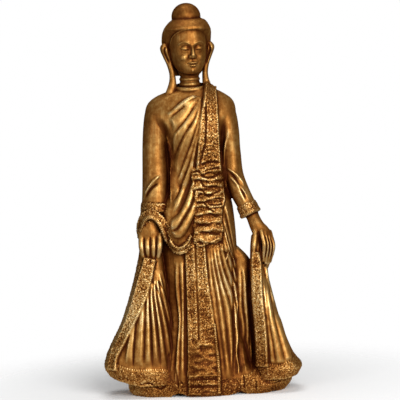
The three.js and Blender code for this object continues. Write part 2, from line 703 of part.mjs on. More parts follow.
function neck() {
  const column = loft(NECK.map(([z, across, deep]) =>
    around(12).map((a) => new THREE.Vector3(NECK_X + across * Math.cos(a), deep * Math.sin(a), z))));
  const { across, deep, thick, drop } = COLLAR;
  const collar = loft(around(16).map((a) => {
    const out = new THREE.Vector3(Math.cos(a), Math.sin(a), 0);
    const middle = new THREE.Vector3(NECK_X + across * out.x, deep * out.y, COLLAR_Z + drop * out.y);
    return around(4).map((b) => middle.clone()
      .addScaledVector(out, thick * Math.cos(b))
      .add(new THREE.Vector3(0, 0, thick * Math.sin(b))));
  }), true);
  return [column, collar];
}

function bun() {
  return loft(steps(-0.985, 0.985, 6).map((u) => {
    const radius = BUN_RADIUS * Math.sqrt(1 - u * u);
    const z = HEIGHT - BUN_HALF_HEIGHT * (1 - u / 0.985);
    return around(14).map((a) => new THREE.Vector3(radius * Math.cos(a), BUN_Y + radius * Math.sin(a), z));
  }));
}

function face(skin) {
  const ridge = (width, rise, points, shape) => fold(carvedLine(skin, points), width, rise, shape);
  const both = (width, rise, points, shape) => [RIGHT, LEFT].map((side) =>
    ridge(width, rise, points.map(([x, z]) => [x * side, z]), shape));
  const brow = [[1.5, BROW_Z - 2.5], [6, BROW_Z + 1], [12, BROW_Z + 2], [17.5, BROW_Z - 1.5]];
  const lid = [[4, EYE_Z - 1.6], [EYE_X, EYE_Z + 0.6], [14, EYE_Z - 0.6]];
  const upperLip = [[-6.4, MOUTH_Z], [-2, MOUTH_Z + 1.6], [2, MOUTH_Z + 1.6], [6.4, MOUTH_Z]];
  const lowerLip = [[-5.4, MOUTH_Z - 1.6], [0, MOUTH_Z - 3], [5.4, MOUTH_Z - 1.6]];
  return [
    ...both(3, 1.4, brow, { count: 5, start: 0.7 }),
    ...both(5.6, 2, lid, { count: 4, start: 0.4 }),
    ridge(3, 2, upperLip, { count: 6, start: 0.4 }),
    ridge(3.2, 2.1, lowerLip, { count: 4, start: 0.4 }),
    limb(NOSE, 7).body,
  ];
}

function head() {
  const skull = upright(SKULL, SKULL_POWER);
  const hair = upright(HAIR, HAIR_POWER);
  const ears = [RIGHT, LEFT].map((side) => limb(EAR.map(([x, ...rest]) => [x * side, ...rest]), 5).body);
  const made = wasm.Manifold.union([
    skull.body(SKULL.map(([z]) => z), aroundFrontAndBack(14, 3)),
    hair.body(HAIR.map(([z]) => z), aroundFrontAndBack(10, 8)),
    fold(freeLine(HAIRLINE), 8, 3.2, { count: 9, start: 0.7, end: 0.7 }),
    bun(),
    ...face(skull.skin(FRONT)),
    ...ears,
  ]);
  const geometry = geometryOf(made).rotateZ(THREE.MathUtils.degToRad(HEAD_TURN_DEG)).translate(HEAD_X, 0, 0);
  return manifoldOf(geometry.attributes.position.array, geometry.index.array);
}

function meshOf(made, name, look) {
  const geometry = geometryOf(made);
  geometry.computeVertexNormals();
  const mesh = new THREE.Mesh(geometry, look);
  mesh.name = name;
  return mesh;
}

// The figure is carved from one piece of wood.
const figure = wasm.Manifold.union([
  ...robeForms(), ...robeFolds(), ...robeBorders(), ...hands(), ...neck(), head(),
]);
const gilding = new THREE.MeshStandardMaterial({ color: 0xa8743a, roughness: 0.42, metalness: 0.75 });
const statuette = new THREE.Group();
statuette.add(meshOf(figure, "figure", gilding));
export default statuette;
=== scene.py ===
# The looks of a carved and gilded wooden statuette of a standing robed figure: its fine surface and finish,
# and the floor, lights and camera. The tables are in millimetres in the frame of the solid: X to the viewer's
# right, Y away from the viewer, Z up. "Right" and "left" are the figure's own sides, so right is at -X.
import math

import bpy
import numpy as np
from mathutils import Matrix, Vector
from mathutils.bvhtree import BVHTree


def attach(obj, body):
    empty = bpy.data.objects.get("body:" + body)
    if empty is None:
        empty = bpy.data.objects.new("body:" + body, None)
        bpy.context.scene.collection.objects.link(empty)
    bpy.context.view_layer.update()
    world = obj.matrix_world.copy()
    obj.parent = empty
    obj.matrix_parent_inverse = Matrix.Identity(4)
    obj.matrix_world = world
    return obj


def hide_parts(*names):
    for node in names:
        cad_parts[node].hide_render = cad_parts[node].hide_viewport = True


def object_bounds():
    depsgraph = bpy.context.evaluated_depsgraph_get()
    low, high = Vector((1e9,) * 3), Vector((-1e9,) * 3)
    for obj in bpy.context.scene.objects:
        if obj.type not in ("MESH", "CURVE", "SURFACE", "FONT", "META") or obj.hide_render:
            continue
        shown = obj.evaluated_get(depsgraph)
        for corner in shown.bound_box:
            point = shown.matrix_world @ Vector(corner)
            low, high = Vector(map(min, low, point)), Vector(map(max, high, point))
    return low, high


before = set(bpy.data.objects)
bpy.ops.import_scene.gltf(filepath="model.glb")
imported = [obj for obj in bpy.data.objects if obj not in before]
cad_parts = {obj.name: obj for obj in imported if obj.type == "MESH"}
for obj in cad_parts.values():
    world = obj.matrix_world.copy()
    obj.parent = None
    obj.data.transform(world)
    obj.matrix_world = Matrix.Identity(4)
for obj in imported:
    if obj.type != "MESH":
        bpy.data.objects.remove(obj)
cad_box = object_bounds()

MM = 0.001
RIGHT = -1
LEFT = 1
FRONT = -1
BACK = 1

# Upright forms. Every row is a height, then the left edge, right edge, front and back of the section there.
ROBE_POWER = 2.3
ROBE = [
    [0, -72, 76, -53, 38],
    [25, -70, 73, -51, 36],
    [50, -64, 66, -47, 34],
    [100, -56, 57, -42, 31],
    [150, -50, 53, -39, 29],
    [200, -46, 52, -38, 28],
    [236, -40, 49.5, -36, 25],
    [273, -36, 43, -34, 23],
    [311, -34.5, 40.5, -35, 24],
    [335, -43, 46, -36, 25],
    [350, -53, 53, -34, 25],
    [360, -59.5, 58, -31, 24],
    [368, -58, 57, -28, 22],
    [376, -53, 53, -24, 20],
    [383, -42.5, 44, -20.5, 17],
    [388, -29, 35, -17.5, 15],
    [391, -20, 26, -15, 13],
]
HEM_POWER = 2.5
HEM = [
    [0, -88, 106, -50.5, 39],
    [4, -94, 111, -52, 41],
    [13, -95, 117, -51.5, 40],
    [22, -91, 116, -49, 38],
    [28, -84, 104, -47, 37],
    [40, -66, 70, -42, 32],
]
# The hem's front and back run in waves, which die away at its top.
HEM_WAVE_MIDDLE = 5
HEM_WAVE_LENGTH = 86
HEM_WAVE_DEPTH = 4
FLARE_POWER = 2.8
# The foot of each held edge rises outward, from a start to an end in x, by up to a height. The rise is whole
# up to 16 mm above the ground and fades away over the next 34 mm.
LIFT_WHOLE_TO = 16
LIFT_FADES_OVER = 34
RIGHT_FLARE = [
    [16, -118, -31, -51, 20],
    [32, -124.5, -31, -52, 21],
    [50, -123, -33, -50, 19],
    [64, -117, -34, -49, 17],
    [94, -101.5, -36, -46, 12],
    [124, -90.5, -39, -43, 7],
    [150, -82.5, -41, -40, 2],
    [180, -75, -45, -37, -10],
    [198, -72, -49, -35, -19],
]
RIGHT_FLARE_LIFT = {"start": -80, "end": -123, "height": 12.5}
LEFT_FLARE = [
    [18, 68, 124, -49, 20],
    [29, 68, 130.2, -50, 21],
    [40, 68, 124, -48, 19],
    [55, 69, 117, -47, 16],
    [86, 69, 105.5, -45, 11],
    [117, 68, 93.3, -43, 6],
    [156, 68, 85, -41, -6],
    [184, 69, 84, -39, -15],
    [202, 71, 83, -36, -21],
]
LEFT_FLARE_LIFT = {"start": 105, "end": 129, "height": 4}
WEB_POWER = 3
WEB = [
    [8, 44, 78, -28, 16],
    [60, 42, 76, -25, 14],
    [120, 42, 74, -23, 10],
    [162, 40, 72, -21, 6],
    [173, 40, 66, -20, 3],
    [186, 40, 54, -18, 1],
]
OVERFOLD_POWER = 2.6
OVERFOLD = [
    [184, -25, -17, -41, -20],
    [190, -31, -9, -42.5, -15],
    [200, -36, -3, -43, -12],
    [215, -42, 1, -42.5, -10],
    [235, -42, 5, -40, -8],
    [256, -34, 7, -36, -8],
    [272, -30, 8, -29, -8],
]
MOUTH_POWER = 2.4
SLEEVE_MOUTH = [
    [198, -70, -52, -24, -2],
    [204, -72.5, -48, -27, 3],
    [218, -72.5, -40, -29.5, 5],
    [232, -71, -34, -32, 5],
    [243, -68, -32, -30, 3],
]

# Limbs. Every row is a point on the middle line, then the half width across it and the half depth.
RIGHT_SLEEVE = [
    [-41, -1, 370, 10, 14],
    [-44, -2.5, 356, 16.5, 21],
    [-46.5, -4, 338, 16.5, 20.5],
    [-48, -6, 314, 16.7, 18.5],
    [-48.5, -10, 280, 17.5, 18],
    [-49.7, -14, 250, 18, 18],
    [-51, -16, 235, 18.7, 18],
]
LEFT_SLEEVE = [
    [38, -1, 370, 9, 14],
    [42.5, -2.5, 355, 16, 20.5],
    [46.5, -4, 335, 14.7, 19.5],
    [49.5, -5, 307, 12.7, 17],
    [51.5, -7, 278, 13.2, 17],
    [59.2, -12, 256, 12.6, 16],
    [69, -17, 236, 11.6, 14],
]
RIGHT_CUFF = [
    [-49.4, -14.2, 247, 18.4, 18.8],
    [-49.5, -14.3, 245.5, 19.6, 20.2],
    [-50.4, -15.8, 236, 20, 20.4],
    [-50.6, -16, 234.5, 18.6, 19],
]
LEFT_CUFF = [
    [66, -15.6, 241, 12.4, 14.2],
    [66.5, -15.8, 239.8, 13.6, 15.4],
    [70.4, -17.6, 231.6, 13.6, 15.4],
    [71.2, -18, 229.6, 14.6, 16.2],
    [72.2, -18.4, 227.2, 13.8, 15.2],
]
RIGHT_PALM = [
    [-53, -19, 236, 11, 8],
    [-55, -23, 226, 11.5, 9],
    [-58.5, -27, 214, 14, 9],
    [-59.5, -29, 204, 14.5, 7.5],
    [-58.8, -30.5, 190, 13.6, 8.2],
    [-59, -33, 177, 10, 4],
]
RIGHT_THUMB = [
    [-50, -22, 217, 3, 3],
    [-48, -26, 206, 3.6, 3.6],
    [-47.5, -28, 194, 3.2, 3.2],
    [-48, -28, 184, 2.2, 2.4],
]
LEFT_PALM = [
    [71, -17, 234, 9, 8],
    [74.5, -20, 224, 8.4, 7.8],
    [79, -25, 213, 9.4, 8],
    [85, -27, 203, 11.2, 7.6],
    [89, -26, 192, 11, 7],
    [89, -22, 174, 8.5, 6.5],
    [87, -19, 160, 5.5, 5],
    [85.5, -19, 150, 2.5, 2.5],
]
LEFT_THUMB = [
    [74, -25, 216, 2.6, 3],
    [76, -33, 204, 3.5, 3.8],
    [74.4, -38, 193, 3.5, 3.6],
    [73, -39, 180, 2.4, 2.6],
]
# The first and the last finger of each hand: knuckle, bend and tip
RIGHT_FINGERS = {
    "knuckles": [[-70, -30, 207], [-46.6, -31, 206]],
    "bends": [[-70.2, -36, 192], [-47.4, -36.4, 191]],
    "tips": [[-67.4, -33, 178], [-50, -34, 181]],
    "radius": 3.9,
}
LEFT_FINGERS = {
    "knuckles": [[84.2, -34, 205], [96, -28, 201]],
    "bends": [[87.2, -38.4, 190], [99, -31, 187]],
    "tips": [[85, -34.6, 172], [94, -29, 169]],
    "radius": 2.9,
}
FINGERS = 4
# The middle fingers start higher and end lower than the outer ones by up to this much, along an arc.
KNUCKLES_RISE = 2
TIPS_REACH = 5
ARC_START, ARC_SPAN = 0.15, 0.7
# The shares of the radius across and deep at a finger's root, knuckle, bend, tip and end
FINGER_SIZES = [[0.6, 0.6], [1, 1], [0.95, 0.95], [0.75, 0.8], [0.35, 0.35]]
FINGER_ROOT = [0, 3, 5]
FINGER_END = 0.12

# The neck, with its three folds: height, half width, half depth
NECK_X = 0
NECK = [
    [382, 16, 15],
    [392.5, 14.6, 14],
    [396.6, 14.1, 15.2],
    [399.9, 12.5, 13.4],
    [403, 13.5, 14.6],
    [405.7, 12.1, 13],
    [410, 13.9, 14],
    [416, 15.5, 15],
]
COLLAR_Z = 392.4
COLLAR = {"across": 19, "deep": 17.4, "thick": 3.1, "drop": 3}

# The head, made facing straight ahead about its own axis
HEIGHT = 500
HEAD_X = -1.2
HEAD_TURN = math.radians(7)
FACE_TURN = math.radians(14)
CHIN_Z = 410
HAIRLINE_Z = 467
SKULL_POWER = 2.15
SKULL = [
    [CHIN_Z - 0.5, -7.5, 7.5, -20.5, -6],
    [CHIN_Z + 1.5, -11.5, 11.5, -24, 2],
    [CHIN_Z + 5, -15.6, 15.6, -25.4, 10],
    [CHIN_Z + 10, -18.8, 18.8, -26, 16],
    [CHIN_Z + 17, -21.4, 21.4, -26.4, 20],
    [CHIN_Z + 25, -23.1, 23.1, -26.6, 23],
    [CHIN_Z + 33, -23.8, 23.8, -26.4, 26],
    [CHIN_Z + 39, -23.9, 23.9, -27, 27],
    [CHIN_Z + 48, -23.2, 23.2, -26.8, 27],
    [HAIRLINE_Z, -22, 22, -25.6, 25],
]
HAIR_POWER = 2.2
HAIR = [
    [407, -15, 15, 8, 20],
    [411, -19, 19, 6, 24],
    [417, -22.4, 22.4, 4, 27],
    [432, -26.8, 26.8, -2, 31],
    [442, -30.4, 30.4, -7, 33.5],
    [452, -32, 32, -13, 34],
    [460, -31.6, 32.2, -19, 33],
    [464.6, -30.4, 31.6, -24, 32],
    [466.6, -29.8, 31, -27.2, 31],
    [469, -28.4, 30, -27.2, 30],
    [473, -25.4, 28, -25, 27],
    [478, -20, 24, -20, 21],
    [481.5, -13, 15, -12, 13],
]
# The right half of the hairline, up to the middle; the left half mirrors it
HAIRLINE_HALF = [
    [-21, 8, 426], [-22.6, 4, 434], [-23.5, -1, 441], [-23.6, -5, 448], [-22.4, -10.5, 455.8],
    [-19, -15.8, 460.8], [-14, -21.6, 464], [-8, -25, 466], [0, -26.6, 466.6],
]
HAIRLINE = HAIRLINE_HALF + [[-x, y, z] for x, y, z in HAIRLINE_HALF[-2::-1]]
HAIRLINE_WIDTH = 3.2
HAIRLINE_RISE = 1
BUN_RADIUS = 18.8
BUN_HALF_HEIGHT = 17.5
BUN_Y = 2
EYE_X = 9
EYE_Z = CHIN_Z + 33
BROW_Z = CHIN_Z + 38
NOSE_Z = CHIN_Z + 19
MOUTH_Z = CHIN_Z + 12.2
NOSE = [
    [0, -24, EYE_Z + 5, 2.7, 2],
    [0, -26.6, EYE_Z - 1, 1.9, 2.8],
    [0, -28.4, NOSE_Z + 8, 2.1, 3],
    [0, -29.6, NOSE_Z + 4.4, 2.5, 2.8],
    [0, -28.8, NOSE_Z + 2.4, 2.4, 2.1],
    [0, -26.4, NOSE_Z + 1.6, 1.8, 1.4],
]
# One side of the nose, and one eye: its half sizes, and how far its middle lies behind the skin
NOSE_SIDE = [3.1, -26.6, NOSE_Z + 2.6]
NOSE_SIDE_SIZES = [2.1, 2.8, 2.2]
EYE_SIZES = [5.8, 4.6, 3.6]
EYE_INSET = 3.3
# Brow and lips are folds: a width and a rise, then points of x and z.
BROW = [3.2, 1.2, [[1.6, BROW_Z - 2], [6, BROW_Z + 1.4], [12, BROW_Z + 2.2], [17.5, BROW_Z - 1.2]]]
UPPER_LIP = [3.6, 2.2, [
    [-6.4, MOUTH_Z + 1.2], [-2.4, MOUTH_Z + 1.9], [0, MOUTH_Z + 1.5],
    [2.4, MOUTH_Z + 1.9], [6.4, MOUTH_Z + 1.2],
]]
LOWER_LIP = [4, 2.6, [
    [-4.8, MOUTH_Z - 0.9], [-2, MOUTH_Z - 1.7], [2, MOUTH_Z - 1.7], [4.8, MOUTH_Z - 0.9],
]]
# One ear; the other mirrors it
EAR = [
    [28.6, 1, 449.5, 2.6, 3],
    [29.6, 2, 443, 5.8, 7.5],
    [26.6, 3, 434, 5.6, 6.8],
    [23.4, 1.5, 423, 4.4, 5],
    [21.4, -2, 411, 3.8, 4.4],
    [21.4, -5, 402, 4.4, 4.2],
    [22.6, -7, 394, 5.6, 4],
    [25.6, -8, 386.5, 5.8, 4.2],
    [30, -8.4, 378, 5, 4],
]

# Cloth that hangs in folds. Every row is a height over the cloth and a line of points of x and z: high
# lines are the crests of folds, low ones the creases between them.
CHEST_FOLDS = [
    [-1, [[4, 383], [-7, 378.5], [-19, 370], [-35, 358]]],
    [2.0, [[7.8, 382], [-4.1, 376.5], [-16.5, 368], [-29, 357]]],
    [0.2, [[9, 380.5], [-3.4, 373.3], [-14.1, 364.5], [-31, 353]]],
    [2.7, [[11, 380.5], [-1.1, 368.5], [-12.7, 358.5], [-26, 345]]],
    [0.2, [[13.5, 380], [7.8, 373], [-1.4, 358.8], [-8.7, 349.6], [-26, 333.5]]],
    [2.5, [[14, 379.5], [9.3, 368.7], [-6, 350], [-17.2, 337], [-26, 323]]],
    [0.2, [[14.4, 379], [8.6, 363], [1.6, 348.4], [-6.6, 338.3], [-15.8, 321.5], [-22.4, 307], [-27, 292]]],
    [2.7, [[14.8, 378.5], [11, 366], [7, 354], [-2.5, 337], [-13, 316], [-18.2, 301], [-20.5, 288],
           [-25, 277], [-31, 268]]],
    [0.2, [[15.2, 378], [10.4, 356], [4.6, 338.7], [-1.2, 321.7], [-6.8, 310], [-12.6, 295.5], [-18.5, 280],
           [-29, 261]]],
    [2.4, [[15.4, 377.5], [11.2, 356], [6.2, 337], [1.3, 322], [-3.5, 307], [-12.9, 287.5], [-20.4, 272.3],
           [-30, 254]]],
    [0, [[15.6, 377], [11.8, 354], [7.6, 335], [2.6, 319], [-1.6, 305], [-6.5, 292], [-13.2, 276],
         [-19.1, 260], [-30, 246]]],
    [2.9, [[15.8, 376.5], [12.6, 354], [9.4, 338], [4.8, 323], [1, 308], [-3, 292], [-12.5, 270],
           [-20.2, 251], [-32, 237]]],
    [0.2, [[16, 376], [13.4, 354], [10.8, 336], [6.6, 320], [2.6, 302], [-1, 283], [-8.4, 268], [-14, 254],
           [-21, 241], [-32, 230]]],
]
OVERFOLD_FOLDS = [
    [-1, [[1.6, 288], [-5, 268], [-12, 250], [-21, 235], [-34, 226]]],
    [4, [[2.2, 285], [-2, 264], [-8, 247], [-17.5, 230.5], [-26, 220.5], [-34, 217]]],
    [0.4, [[3, 282], [0.8, 262], [-5, 243], [-13, 230], [-24.4, 214.5], [-34, 212]]],
    [4.2, [[4, 279], [3, 260], [-1.5, 240], [-9.5, 226], [-17, 213.5], [-22.5, 207.5], [-32, 209.5]]],
    [-1, [[6, 276], [6.5, 256], [3, 237], [-5, 222], [-13, 208], [-21, 202.5], [-32, 205]]],
]

# Pleated cloth. Every ridge is its rise, then its line as points of x and z. The ridges of a field lie
# side by side, each with a valley to the next.
SKIRT_PLEATS = [
    [1.8, [[14.6, 192], [16.6, 150], [20.6, 107], [25, 62], [28, 12]]],
    [2.4, [[17.8, 193], [20.5, 162], [26, 126], [29, 93], [31.5, 62], [36, 12]]],
    [2.8, [[22, 195], [24.5, 170], [29.5, 141], [36.5, 112], [39, 75], [43, 12]]],
    [2.8, [[26.4, 198], [28.5, 172], [34, 148], [42.5, 122], [47, 90], [48, 40]]],
    [2.8, [[30.6, 203], [34.5, 173], [40.5, 152], [49, 128], [53, 104]]],
    [2.8, [[33.4, 208], [39.6, 179], [46, 153], [52, 134], [56, 118]]],
    [2.2, [[36, 214], [41.4, 190], [47.6, 167], [53.6, 148]]],
]
UNDER_SKIRT_PLEATS = [
    [2.4, [[-20, 180], [-19, 150], [-20, 110], [-22, 70], [-25, 12]]],
    [2.8, [[-25.5, 180], [-27, 140], [-25, 100], [-29, 60], [-33, 12]]],
]
RIGHT_FLARE_PLEATS = [
    [2.6, [[-75, 122], [-83, 98], [-89.8, 75], [-96.5, 44]]],
    [3.2, [[-66, 138], [-70.4, 120], [-75.4, 75], [-79, 40]]],
    [3.4, [[-61.5, 146], [-64.5, 128], [-66, 88], [-68, 38]]],
    [3.6, [[-58, 151], [-60, 132], [-58.4, 88], [-57, 37]]],
    [3.6, [[-55, 154], [-56, 134], [-51.5, 88], [-47.4, 36]]],
    [3.2, [[-52.5, 158], [-51, 132], [-44, 84], [-38.5, 34]]],
    [2.8, [[-50, 163], [-46, 134], [-38.5, 92], [-33, 34]]],
    [1.8, [[-47.5, 168], [-42, 140], [-35.5, 104], [-30, 50]]],
]
LEFT_FLARE_PLEATS = [
    [2.2, [[83.4, 150], [84.8, 122], [87.6, 92], [89.8, 66], [91.6, 37]]],
    [3.4, [[85, 166], [87, 134], [90.8, 98], [96.4, 66], [101.4, 36]]],
    [3.4, [[86.8, 164], [91, 140], [98.6, 104], [106.8, 72], [115.6, 39]]],
]
WEB_PLEATS = [
    [3, [[47.6, 158], [46.6, 138], [48.3, 121], [46.8, 104], [46.3, 80], [45.6, 66], [44.2, 58], [46.2, 48],
         [43.6, 40], [44.4, 12]]],
    [3, [[52.6, 166], [54.4, 146], [53.8, 122], [52.8, 106], [55.6, 92], [56.6, 80], [54.2, 64], [54.6, 38],
         [53, 12]]],
    [2.8, [[58.4, 166], [60.4, 146], [60.6, 126], [61.2, 104], [62, 80], [61, 62], [61.4, 38], [60, 12]]],
    [1.6, [[64.4, 160], [66, 130], [66.4, 104], [66, 72], [65, 46], [64, 12]]],
]
BACK_PLEATS = [
    [3, [[24, 330], [6, 285], [-14, 240], [-36, 200]]],
    [3, [[28, 280], [18, 225], [0, 165], [-34, 100]]],
    [3, [[32, 220], [28, 150], [18, 80], [-4, 14]]],
]
VALLEY_RISE = 0.2
LEFT_FLARE_VALLEY_RISE = 0.9
RIM_DEPTH = 1
# How the heights of hung folds and of pleats grow and fade, by share of their length
DRAPERY_SWELL = [[0, 0.2], [0.1, 1], [0.88, 1], [1, -0.3]]
PLEAT_SWELL = [[0, -0.3], [0.14, 0.8], [0.4, 1], [0.88, 0.9], [1, -0.3]]
LEFT_FLARE_SWELL = [[0, -0.3], [0.14, 0.8], [0.4, 1], [0.95, 0.95], [1, -0.3]]

# Padding under the top of the chest's folds, with rows as for a limb
CHEST_PADDING = [
    [-9, -25, 371, 4, 6.4],
    [-3, -23.6, 373, 5, 6.6],
    [3, -22.2, 374.4, 4.6, 6.8],
    [8, -20.6, 373, 4, 6.6],
]

# Single folds: a width and a rise, then the fold's line as points of x and z
WEB_EDGE = [5, 3.2, [
    [49, 150], [46.8, 128], [48.4, 112], [45.6, 92], [47, 72], [45, 52], [47.2, 34], [46, 16],
]]
ARM_SIDE_FOLD = [5, 2.4, [[44, 328], [40, 305], [39.5, 285], [41.5, 262]]]
RIGHT_SLEEVE_FOLDS = [[7, 2, [[-64, 258], [-54, 273], [-43, 283]]]]
LEFT_SLEEVE_FOLDS = [
    [6, 2.2, [[42, 290], [55, 279], [65, 264]]],
    [6, 2, [[46, 278], [57, 266], [67, 253]]],
]

# Flat raised borders: their lines as points of x and z, and their widths by share of the length
SHOULDER_BORDER = [[19.5, 286], [19.8, 300], [21, 320], [22.4, 340], [24, 362]]
BACK_BORDER = [[26, 356], [27, 330], [28, 250], [30, 200]]
SHOULDER_WIDTHS = [
    [0, 34], [0.07, 31], [0.14, 27], [0.21, 23.5], [0.33, 17], [0.42, 16], [0.52, 17], [1, 24],
]
PANEL = [[-1.5, 196], [-1, 160], [0.6, 130], [2, 100], [2.6, 66], [3.4, 34], [3.2, 3]]
PANEL_WIDTHS = [[0, 26], [0.3, 29.5], [0.5, 34.5], [0.7, 37.5], [1, 41]]
RIGHT_PANEL = [[-8.2, 196], [-8.4, 134], [-8.6, 96], [-9, 68]]
RIGHT_PANEL_WIDTHS = [[0, 13], [1, 14]]
LEFT_PANEL = [[5.4, 196], [6.4, 145], [8.4, 107], [9, 68]]
LEFT_PANEL_WIDTHS = [[0, 12], [0.4, 15], [0.7, 18.5], [1, 20.5]]
PANEL_EDGE = [[19, 92], [20.2, 66], [22, 40], [21.6, 4]]
PANEL_EDGE_WIDTHS = [[0, 3], [0.3, 5], [1, 6]]
RIGHT_FLARE_BORDER = [
    [-60, 178], [-65, 160], [-75.5, 128], [-87, 101], [-99, 77], [-111.5, 54], [-114, 38],
]
RIGHT_FLARE_BORDER_WIDTHS = [[0, 16], [0.25, 19], [0.6, 15], [0.8, 14], [1, 15]]
LEFT_FLARE_BORDER = [[75.5, 181], [75.8, 166], [76, 123], [78.6, 86], [79.4, 52], [78.8, 35]]
LEFT_FLARE_BORDER_WIDTHS = [[0, 10], [0.1, 13.5], [0.5, 15.5], [1, 17.5]]

# The border goes over the left shoulder, and a trim goes round the right sleeve's mouth: points of x, y and z
SHOULDER_PASS = [
    [25, -26.5, 372], [25.5, -20, 383], [26, -11, 390.5], [26.5, 0, 393], [26, 10, 389], [25, 19, 379],
]
SHOULDER_MIDDLE = [11, 0, 370]
MOUTH_TRIM = [
    [-71.5, -17, 201], [-71.5, -25, 214], [-68.5, -31.5, 226], [-61.5, -36, 233.5], [-53, -38, 233.5],
    [-44.5, -38.5, 226], [-39.4, -37, 214], [-36.4, -34.5, 204.5],
]
WRIST_MIDDLE = [-53, -10, 216]
OVERFOLD_TRIM = [[-33.6, 198], [-29.4, 191.4], [-24, 187.6], [-17.5, 188.2], [-10.5, 194], [-4.5, 204]]
TRIM_WIDTHS = [[0, 10], [0.3, 13], [0.55, 11.5], [1, 10]]

# Every border's widths, how far it stands out, and the height of the rolled rims along its edges
BORDERS = {
    "shoulder": [SHOULDER_WIDTHS, 3, 0.35],
    "panel": [PANEL_WIDTHS, 1.6, 0],
    "right_panel": [RIGHT_PANEL_WIDTHS, 3, 0.35],
    "left_panel": [LEFT_PANEL_WIDTHS, 2.6, 0.35],
    "panel_edge": [PANEL_EDGE_WIDTHS, 3.6, 0.35],
    "right_flare": [RIGHT_FLARE_BORDER_WIDTHS, 3.4, 0.35],
    "left_flare": [LEFT_FLARE_BORDER_WIDTHS, 3.8, 0.35],
    "trim": [TRIM_WIDTHS, 1.8, 0.35],
}
# A border's section from its edge inward: the distance from the edge, then the shares of the rise and of the
# rim's height there. The first place is sunk under the cloth.
BORDER_SECTION = [[0.3, 0, 0], [0.1, 0.5, 0], [0.9, 1, 0.8], [1.9, 1, 1], [2.9, 1, 0.2], [4.2, 1, 0]]
LEAST_HALF_WIDTH = 0.2

# The gathered ends of the border: every row is a layer's height, left edge and right edge.
WAIST_GATHER = [
    [293, 2, 36.5], [283, -2, 37], [274, -2.5, 38], [264, -1, 38], [256, 3, 38.5], [248, 2, 39.5],
    [240, 0.5, 38], [230, 0, 35], [219, -2.5, 34], [208, -3.5, 36], [195, -3, 33],
]
WAIST_GATHER_SIZES = {"lip": 5.6, "hollow": 3, "sway": 1.5}
FOOT_GATHER = [
    [72, -16, 17], [62, -15.5, 18], [53, -16, 18.5], [44, -16.5, 18.5],
    [35, -17, 19], [26, -18, 23], [15, -18, 24], [4, -18, 24],
]
FOOT_GATHER_SIZES = {"lip": 4.8, "hollow": 3, "sway": 2.4}
# How far a layer's edges keep to its own row rather than to the row above
OWN_ROW = 0.65
# A layer sways in one long wave, which turns over from layer to layer, and in short ones that move along.
LONG_WAVE_START = 0.12
SHORT_WAVES, SHORT_WAVE_STEP, SHORT_WAVE_SHARE = 2.6, 0.31, 0.45
# How full a layer is at its sides, how much fuller in its middle, and which part of its height it takes up
SIDE_FULLNESS, MIDDLE_FULLNESS = 0.72, 0.28
LAYER_START, LAYER_SPAN = 0.04, 0.92

# How deep a carved strip is sunk into the form under it
SINK = 2.5

# How finely lines, folds and round forms are drawn
LINE_POINTS = 90
DRAPERY_POINTS = 110
FOLD_STEPS = 7
FOLD_SIDES = 15
THIN_SIDES = 20
# Crests of hung folds are round and creases sharp by this power.
CREASE_POWER = 3
ROLL_POWER = 0.7
# A skin is followed no further out than this share of its form's half width.
FORM_EDGE = 0.97
LIMB_EDGE = 0.95


def between(rows, places):
    """The values between a table's rows, smooth and with no overshoot. A row's first value is its place."""
    table = np.array(rows, float)
    place, value = table[:, 0], table[:, 1:]
    span = np.diff(place)
    slope = np.diff(value, axis=0) / span[:, None]
    lean = np.concatenate([slope[:1], slope])
    before, after = slope[:-1], slope[1:]
    total = np.where(before + after == 0, 1, before + after)
    lean[1:-1] = np.where(before * after > 0, 2 * before * after / total, 0)
    at = np.clip(np.asarray(places, float), place[0], place[-1])
    i = np.clip(np.searchsorted(place, at) - 1, 0, len(span) - 1)
    wide = span[i][..., None]
    u = (at - place[i])[..., None] / wide
    rise = value[i + 1] - value[i]
    cubic = (lean[i] + lean[i + 1]) * wide - 2 * rise
    square = 3 * rise - (2 * lean[i] + lean[i + 1]) * wide
    return value[i] + u * (lean[i] * wide + u * (square + u * cubic))


def unit(vectors):
    return vectors / np.maximum(np.linalg.norm(vectors, axis=-1, keepdims=True), 1e-9)


def smooth_line(points, shares):
    """Points on the smooth curve through the given ones"""
    given = np.array(points, float)
    padded = np.concatenate([[2 * given[0] - given[1]], given, [2 * given[-1] - given[-2]]])
    place = np.asarray(shares, float) * (len(given) - 1)
    i = np.clip(place.astype(int), 0, len(given) - 2)
    u = (place - i)[:, None]
    p0, p1, p2, p3 = (padded[i + k] for k in range(4))
    gap = [np.maximum(np.linalg.norm(b - a, axis=1, keepdims=True), 1e-6) ** 0.5
           for a, b in ((p0, p1), (p1, p2), (p2, p3))]
    start = ((p1 - p0) / gap[0] - (p2 - p0) / (gap[0] + gap[1])) * gap[1] + (p2 - p1)
    end = ((p3 - p2) / gap[2] - (p3 - p1) / (gap[1] + gap[2])) * gap[1] + (p2 - p1)
    cubic = 2 * (p1 - p2) + start + end
    square = 3 * (p2 - p1) - 2 * start - end
    return p1 + u * (start + u * (square + u * cubic))


def signed_power(value, exponent):
    return np.sign(value) * np.abs(value) ** exponent


def smooth_step(value, low, high):
    u = np.clip((value - low) / (high - low), 0, 1)
    return u * u * (3 - 2 * u)


# Closed shapes wait here, as points and faces or as primitives, until they are joined into one mesh.
shapes = []
primitives = []


